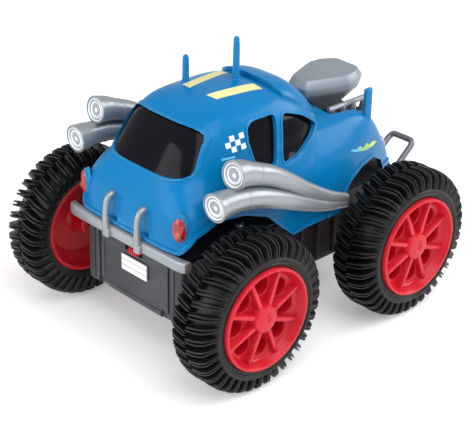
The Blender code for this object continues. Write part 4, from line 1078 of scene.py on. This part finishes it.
# Outer and inner row of tread bars: place, shift round the tyre, top radius and thickness
LUG_ROWS = (
    ((62.6, -1.1, 38.6, 1.6), (63.2, -1.0, 39.6, 2.4), (66.0, -0.4, 39.85, 2.9), (69.0, 0.3, 39.85, 3.0),
     (71.8, 0.9, 39.3, 3.0), (73.8, 1.3, 38.2, 2.7), (75.2, 1.6, 35.6, 2.2), (75.8, 1.7, 32.4, 1.6)),
    ((51.4, 1.7, 34.6, 1.6), (52.4, 1.5, 37.8, 2.4), (54.2, 1.1, 39.2, 2.9), (57.0, 0.5, 39.85, 3.0),
     (60.0, -0.3, 39.85, 2.9), (62.6, -1.0, 39.6, 2.4), (63.2, -1.1, 38.6, 1.6)),
)
LUG_DEPTH = 5.0
LUG_SHOULDER = 0.2
# Points across a bar, as a share of half its thickness and the name of their depth below its top
LUG_SECTION = ((-1.15, "foot"), (-1.0, "shoulder"), (-0.85, "top"), (-0.35, "top"), (-0.2, "groove"),
               (0.2, "groove"), (0.35, "top"), (0.85, "top"), (1.0, "shoulder"), (1.15, "foot"))
BEAD = ((75.65, 28.2), (75.9, 28.55), (76.2, 28.2), (75.9, 27.85))
# Profile of the hub as place and radius: bore, inner bowl, bead seat, outer dish and cap
HUB_PROFILE = (
    (54.0, 2.2), (54.0, 5.2), (54.6, 5.8), (62.6, 6.8), (64.2, 8.4), (63.6, 18.6), (61.0, 21.6),
    (55.4, 24.0), (54.3, 24.4), (54.0, 25.0), (54.0, 25.9), (54.5, 26.3), (76.9, 26.3), (77.4, 26.0),
    (77.6, 25.5), (77.5, 24.9), (77.0, 24.5), (73.4, 23.4), (72.4, 22.6), (71.9, 21.4), (71.2, 9.4),
    (71.6, 8.0), (75.4, 7.1), (76.2, 6.5), (76.4, 5.8), (76.4, 2.6), (75.8, 2.0), (75.8, 0.0),
    (74.0, 0.0), (74.0, 2.2),
)
HOLES = 8
HOLE_RADIUS = 4.7
HOLE_REACH = 16.4


# Rim round each hole, as place and distance outside the hole's edge
HOLE_RIM = ((71.0, -0.05), (71.8, 0.05), (72.0, 0.25), (71.8, 0.5), (71.0, 0.6))
# Both ends of a rib, as distance from the axle, height and share of its width at the top
RIB_ENDS = ((5.6, 75.4, 1.25), (24.2, 74.9, 1.0))
RIB_FOOT = 70.6
BOX_FACES = ((0, 1, 2, 3), (4, 5, 6, 7), (0, 1, 5, 4), (1, 2, 6, 5), (2, 3, 7, 6), (3, 0, 4, 7))


def on_wheels(master, kind, finish):
    """Copies a left wheel's piece to the four wheels and removes it."""
    for end, side, y, turn in WHEELS:
        matrix = Matrix.Translation((0.0, y * MM, AXLE_Z * MM)) @ Matrix.Rotation(turn, 4, "Z")
        done(copied(master, f"{kind}_{end}_{side}", matrix), finish, body=f"{end}_wheel_{side}",
             replaces=(f"{end}_{kind}_{side}",))
    bpy.data.objects.remove(master, do_unlink=True)


class CAR_OT_tyres(bpy.types.Operator):
    """Four tyres with two rows of grooved tread bars"""

    bl_idname = "car.tyres"
    bl_label = "Tyres"

    def execute(self, context):
        sizes = context.scene.car_sizes
        depths = {"foot": LUG_DEPTH, "shoulder": LUG_SHOULDER, "top": 0.0, "groove": sizes.groove / MM}
        parts = [turned("carcass", CARCASS, 114, True)]
        for number, stations in enumerate(LUG_ROWS):
            rings = [[(x, shift + share * thickness / 2, top - depths[level])
                      for share, level in LUG_SECTION] for x, shift, top, thickness in stations]
            lug = lofted("lug", rings)
            lug.data.transform(Matrix.Rotation(number * math.pi / sizes.lugs, 4, "X"))
            parts.append(repeated(lug, sizes.lugs, turn=2 * math.pi / sizes.lugs))
        parts.append(turned("bead", BEAD, 96, True))
        on_wheels(joined("tyre_master", parts), "tyre", "tyre_rubber")
        return {"FINISHED"}


class CAR_OT_hubs(bpy.types.Operator):
    """Four hubs with eight holes and standing ribs"""

    bl_idname = "car.hubs"
    bl_label = "Hubs"

    def execute(self, context):
        hub = turned("hub_master", HUB_PROFILE, 96, True)
        centres = [(HOLE_REACH * math.cos(angle), HOLE_REACH * math.sin(angle))
                   for angle in (2 * math.pi * number / HOLES for number in range(HOLES))]
        cut(hub, *[rod("hole", HOLE_RADIUS, 65.4, 80.0, "X", centre, 28) for centre in centres])
        half = context.scene.car_sizes.rib / MM / 2
        points = [(x, half * share, z) for z, top, wide in RIB_ENDS
                  for x, share in ((RIB_FOOT, -1.3), (top, -wide), (top, wide), (RIB_FOOT, 1.3))]
        rib = rounded(closed_outwards(drawn("rib", points, faces=BOX_FACES)), 0.3, 2)
        rib.data.transform(Matrix.Rotation(math.pi / HOLES, 4, "X"))
        parts = [hub, repeated(rib, HOLES, turn=2 * math.pi / HOLES)]
        for centre in centres:
            ring = turned("hole_rim", [(x, HOLE_RADIUS + out) for x, out in HOLE_RIM], 28, True)
            parts.append(moved(ring, (0.0, *centre)))
        on_wheels(joined("hub_master", parts), "hub", "hub_red")
        return {"FINISHED"}


# ---------------------------------------------------------------- decals and inner parts

# Outlines of the printed films, seen from the side
FLAME = ((-19.0, 85.0), (-26.0, 84.0), (-31.0, 81.6), (-35.0, 82.2), (-38.0, 80.2), (-42.0, 81.6),
         (-44.0, 79.6), (-49.0, 80.0), (-53.0, 78.0), (-48.0, 77.6), (-44.0, 78.0), (-40.0, 78.2),
         (-35.0, 79.6), (-31.0, 80.4), (-25.0, 83.0))


CHECKER = [[(y, z), (y + 3.0, z), (y + 3.0, z + 2.5), (y, z + 2.5)]
           for y, z in ((44.6, 104.6), (50.6, 104.6), (47.6, 107.1), (53.6, 107.1), (44.6, 109.6),
                        (50.6, 109.6))]
UNDERLINE = [(52.5, 102.0), (60.5, 102.6), (60.3, 103.5), (52.4, 102.9)]
STRIPE_REAR_X = 6.0
STRIPE_FRONT_X = 9.2


class CAR_OT_decals(bpy.types.Operator):
    """Roof stripes, quarter marks and fender flames as thin films"""

    bl_idname = "car.decals"
    bl_label = "Decals"

    def execute(self, context):
        wide = context.scene.car_sizes.stripe / MM
        stripe = ((STRIPE_REAR_X, 47.0), (STRIPE_REAR_X + wide, 46.0), (STRIPE_FRONT_X + wide, 18.6),
                  (STRIPE_FRONT_X, 18.6))
        for name, side in SIDES:
            tool = prism("outline", [(side * x, y) for x, y in stripe], 110.0, 130.0, "Z")
            done(skin(f"roof_stripe_{name}", cabin_form, FILM_OUT, FILM_IN, tool), "stripe_yellow")
        for name, finish, form, outlines in (
                ("quarter_mark", "decal_white", cabin_form, CHECKER),
                ("quarter_underline", "decal_cyan", cabin_form, [UNDERLINE]),
                ("fender_flame", "flame_green", hood_form, [FLAME])):
            tool = joined("tool", [prism("outline", outline, 15.0, 60.0, "X") for outline in outlines])
            done_both(skin(f"{name}_left", form, FILM_OUT, FILM_IN, tool), finish)
        return {"FINISHED"}


INNER_LOOKS = {
    "steel": ("front_axle", "rear_axle_left", "rear_axle_right", "idler_shaft", "battery_door_screw",
              "deck_screw_1", "deck_screw_2", "deck_screw_3", "deck_screw_4"),
    "brass": ("contact_strip_left", "contact_strip_right", "pinion_left", "pinion_right"),
    "motor_can": ("motor_left", "motor_right"),
    "white_nylon": ("idler_gear_left", "idler_gear_right", "axle_gear_left", "axle_gear_right"),
    "cell_wrap": ("battery_1", "battery_2", "battery_3", "battery_4"),
    "board_green": ("receiver_board",),
    "housing_grey": ("switch_body",),
}


class CAR_OT_inner_parts(bpy.types.Operator):
    """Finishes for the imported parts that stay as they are"""

    bl_idname = "car.inner_parts"
    bl_label = "Inner Parts"

    def execute(self, context):
        for finish, names in INNER_LOOKS.items():
            for name in names:
                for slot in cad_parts[name].material_slots:
                    slot.material = look(finish)
        return {"FINISHED"}


# ---------------------------------------------------------------- stage

CAMERA_PLACE = (-0.5114, 0.5138, 0.4133)
CAMERA_AIM = (0.0019, 0.0171, 0.0442)
CAMERA_ROLL = math.radians(1.2)


LIGHT_AIM = (0.0, 0.0, 0.06)
# Each area light's place, its size and its power in watts
LIGHTS = (
    ("key", (-0.75, 0.15, 1.1), (1.2, 1.2), 12.0),
    ("rear_fill", (0.25, 1.2, 0.5), (1.2, 0.8), 8.0),
    ("nose_fill", (-0.5, -1.1, 0.6), (0.9, 0.6), 7.0),
)


def turn_towards(place, aim):
    """The turn of a light or camera at a place that looks at an aim."""
    return (Vector(aim) - Vector(place)).to_track_quat("-Z", "Y").to_matrix()


def area_light(name, place, size, power):
    light = bpy.data.lights.new(name, "AREA")
    light.shape = "RECTANGLE"
    light.size, light.size_y = size
    light.energy = power
    obj = bpy.data.objects.new(name, light)
    bpy.context.scene.collection.objects.link(obj)
    obj.location = place
    obj.rotation_euler = turn_towards(place, LIGHT_AIM).to_euler()


class CAR_OT_stage(bpy.types.Operator):
    """Pale floor, soft studio light and the camera"""

    bl_idname = "car.stage"
    bl_label = "Stage"

    def execute(self, context):
        scene = context.scene
        deselect()
        bpy.ops.mesh.primitive_plane_add(size=30.0, location=(0.0, 0.0, 0.0))
        floor = context.object
        floor.name = "floor"
        pale, tree, shader = shader_of("floor_pale", (0.9, 0.9, 0.9))
        shader.inputs["Roughness"].default_value = 0.6
        shader.inputs["Emission Color"].default_value = (1.0, 1.0, 1.0, 1.0)
        shader.inputs["Emission Strength"].default_value = 0.25
        tree.links.new(mixed(tree, ranged(tree, noise(tree, 3.0), 0.0, 1.0), (0.88, 0.88, 0.88),
                             (0.91, 0.91, 0.91)), shader.inputs["Base Color"])
        floor.data.materials.append(pale)

        world = bpy.data.worlds.new("studio")
        world.use_nodes = True
        background = world.node_tree.nodes["Background"]
        background.inputs["Color"].default_value = (1.0, 1.0, 1.0, 1.0)
        background.inputs["Strength"].default_value = 0.6
        scene.world = world
        scene.view_settings.view_transform = "Standard"
        for settings in LIGHTS:
            area_light(*settings)

        lens = bpy.data.cameras.new("camera")
        lens.lens = scene.car_sizes.lens
        lens.sensor_width = 36.0
        lens.clip_start = 0.01
        camera = bpy.data.objects.new("camera", lens)
        scene.collection.objects.link(camera)
        camera.location = CAMERA_PLACE
        facing = turn_towards(CAMERA_PLACE, CAMERA_AIM) @ Matrix.Rotation(CAMERA_ROLL, 3, "Z")
        camera.rotation_euler = facing.to_euler()
        scene.camera = camera
        return {"FINISHED"}


class CAR_PT_panel(bpy.types.Panel):
    """Lists the settings and the pieces"""

    bl_idname = "CAR_PT_panel"
    bl_label = "Stunt Car"
    bl_space_type = "VIEW_3D"
    bl_region_type = "UI"
    bl_category = "Stunt Car"

    def draw(self, context):
        layout = self.layout
        for group in (context.scene.car_colours, context.scene.car_sizes):
            for name in group.bl_rna.properties.keys():
                if name not in ("rna_type", "name"):
                    layout.prop(group, name)
        for operator in PIECES:
            layout.operator(operator.bl_idname)


PIECES = (CAR_OT_shell, CAR_OT_visor, CAR_OT_windows, CAR_OT_posts, CAR_OT_scoop, CAR_OT_engine,
          CAR_OT_exhausts, CAR_OT_front_trim, CAR_OT_rear_trim, CAR_OT_housing, CAR_OT_chassis,
          CAR_OT_tyres, CAR_OT_hubs, CAR_OT_decals, CAR_OT_inner_parts, CAR_OT_stage)
CLASSES = (CarColours, CarSizes, *PIECES, CAR_PT_panel)


def register():
    for made in CLASSES:
        bpy.utils.register_class(made)
    bpy.types.Scene.car_colours = PointerProperty(type=CarColours)
    bpy.types.Scene.car_sizes = PointerProperty(type=CarSizes)


def unregister():
    del bpy.types.Scene.car_sizes
    del bpy.types.Scene.car_colours
    for made in reversed(CLASSES):
        bpy.utils.unregister_class(made)


def main():
    register()
    for operator in PIECES:
        getattr(bpy.ops.car, operator.bl_idname.split(".")[1])()


if __name__ == "__main__":
    main()
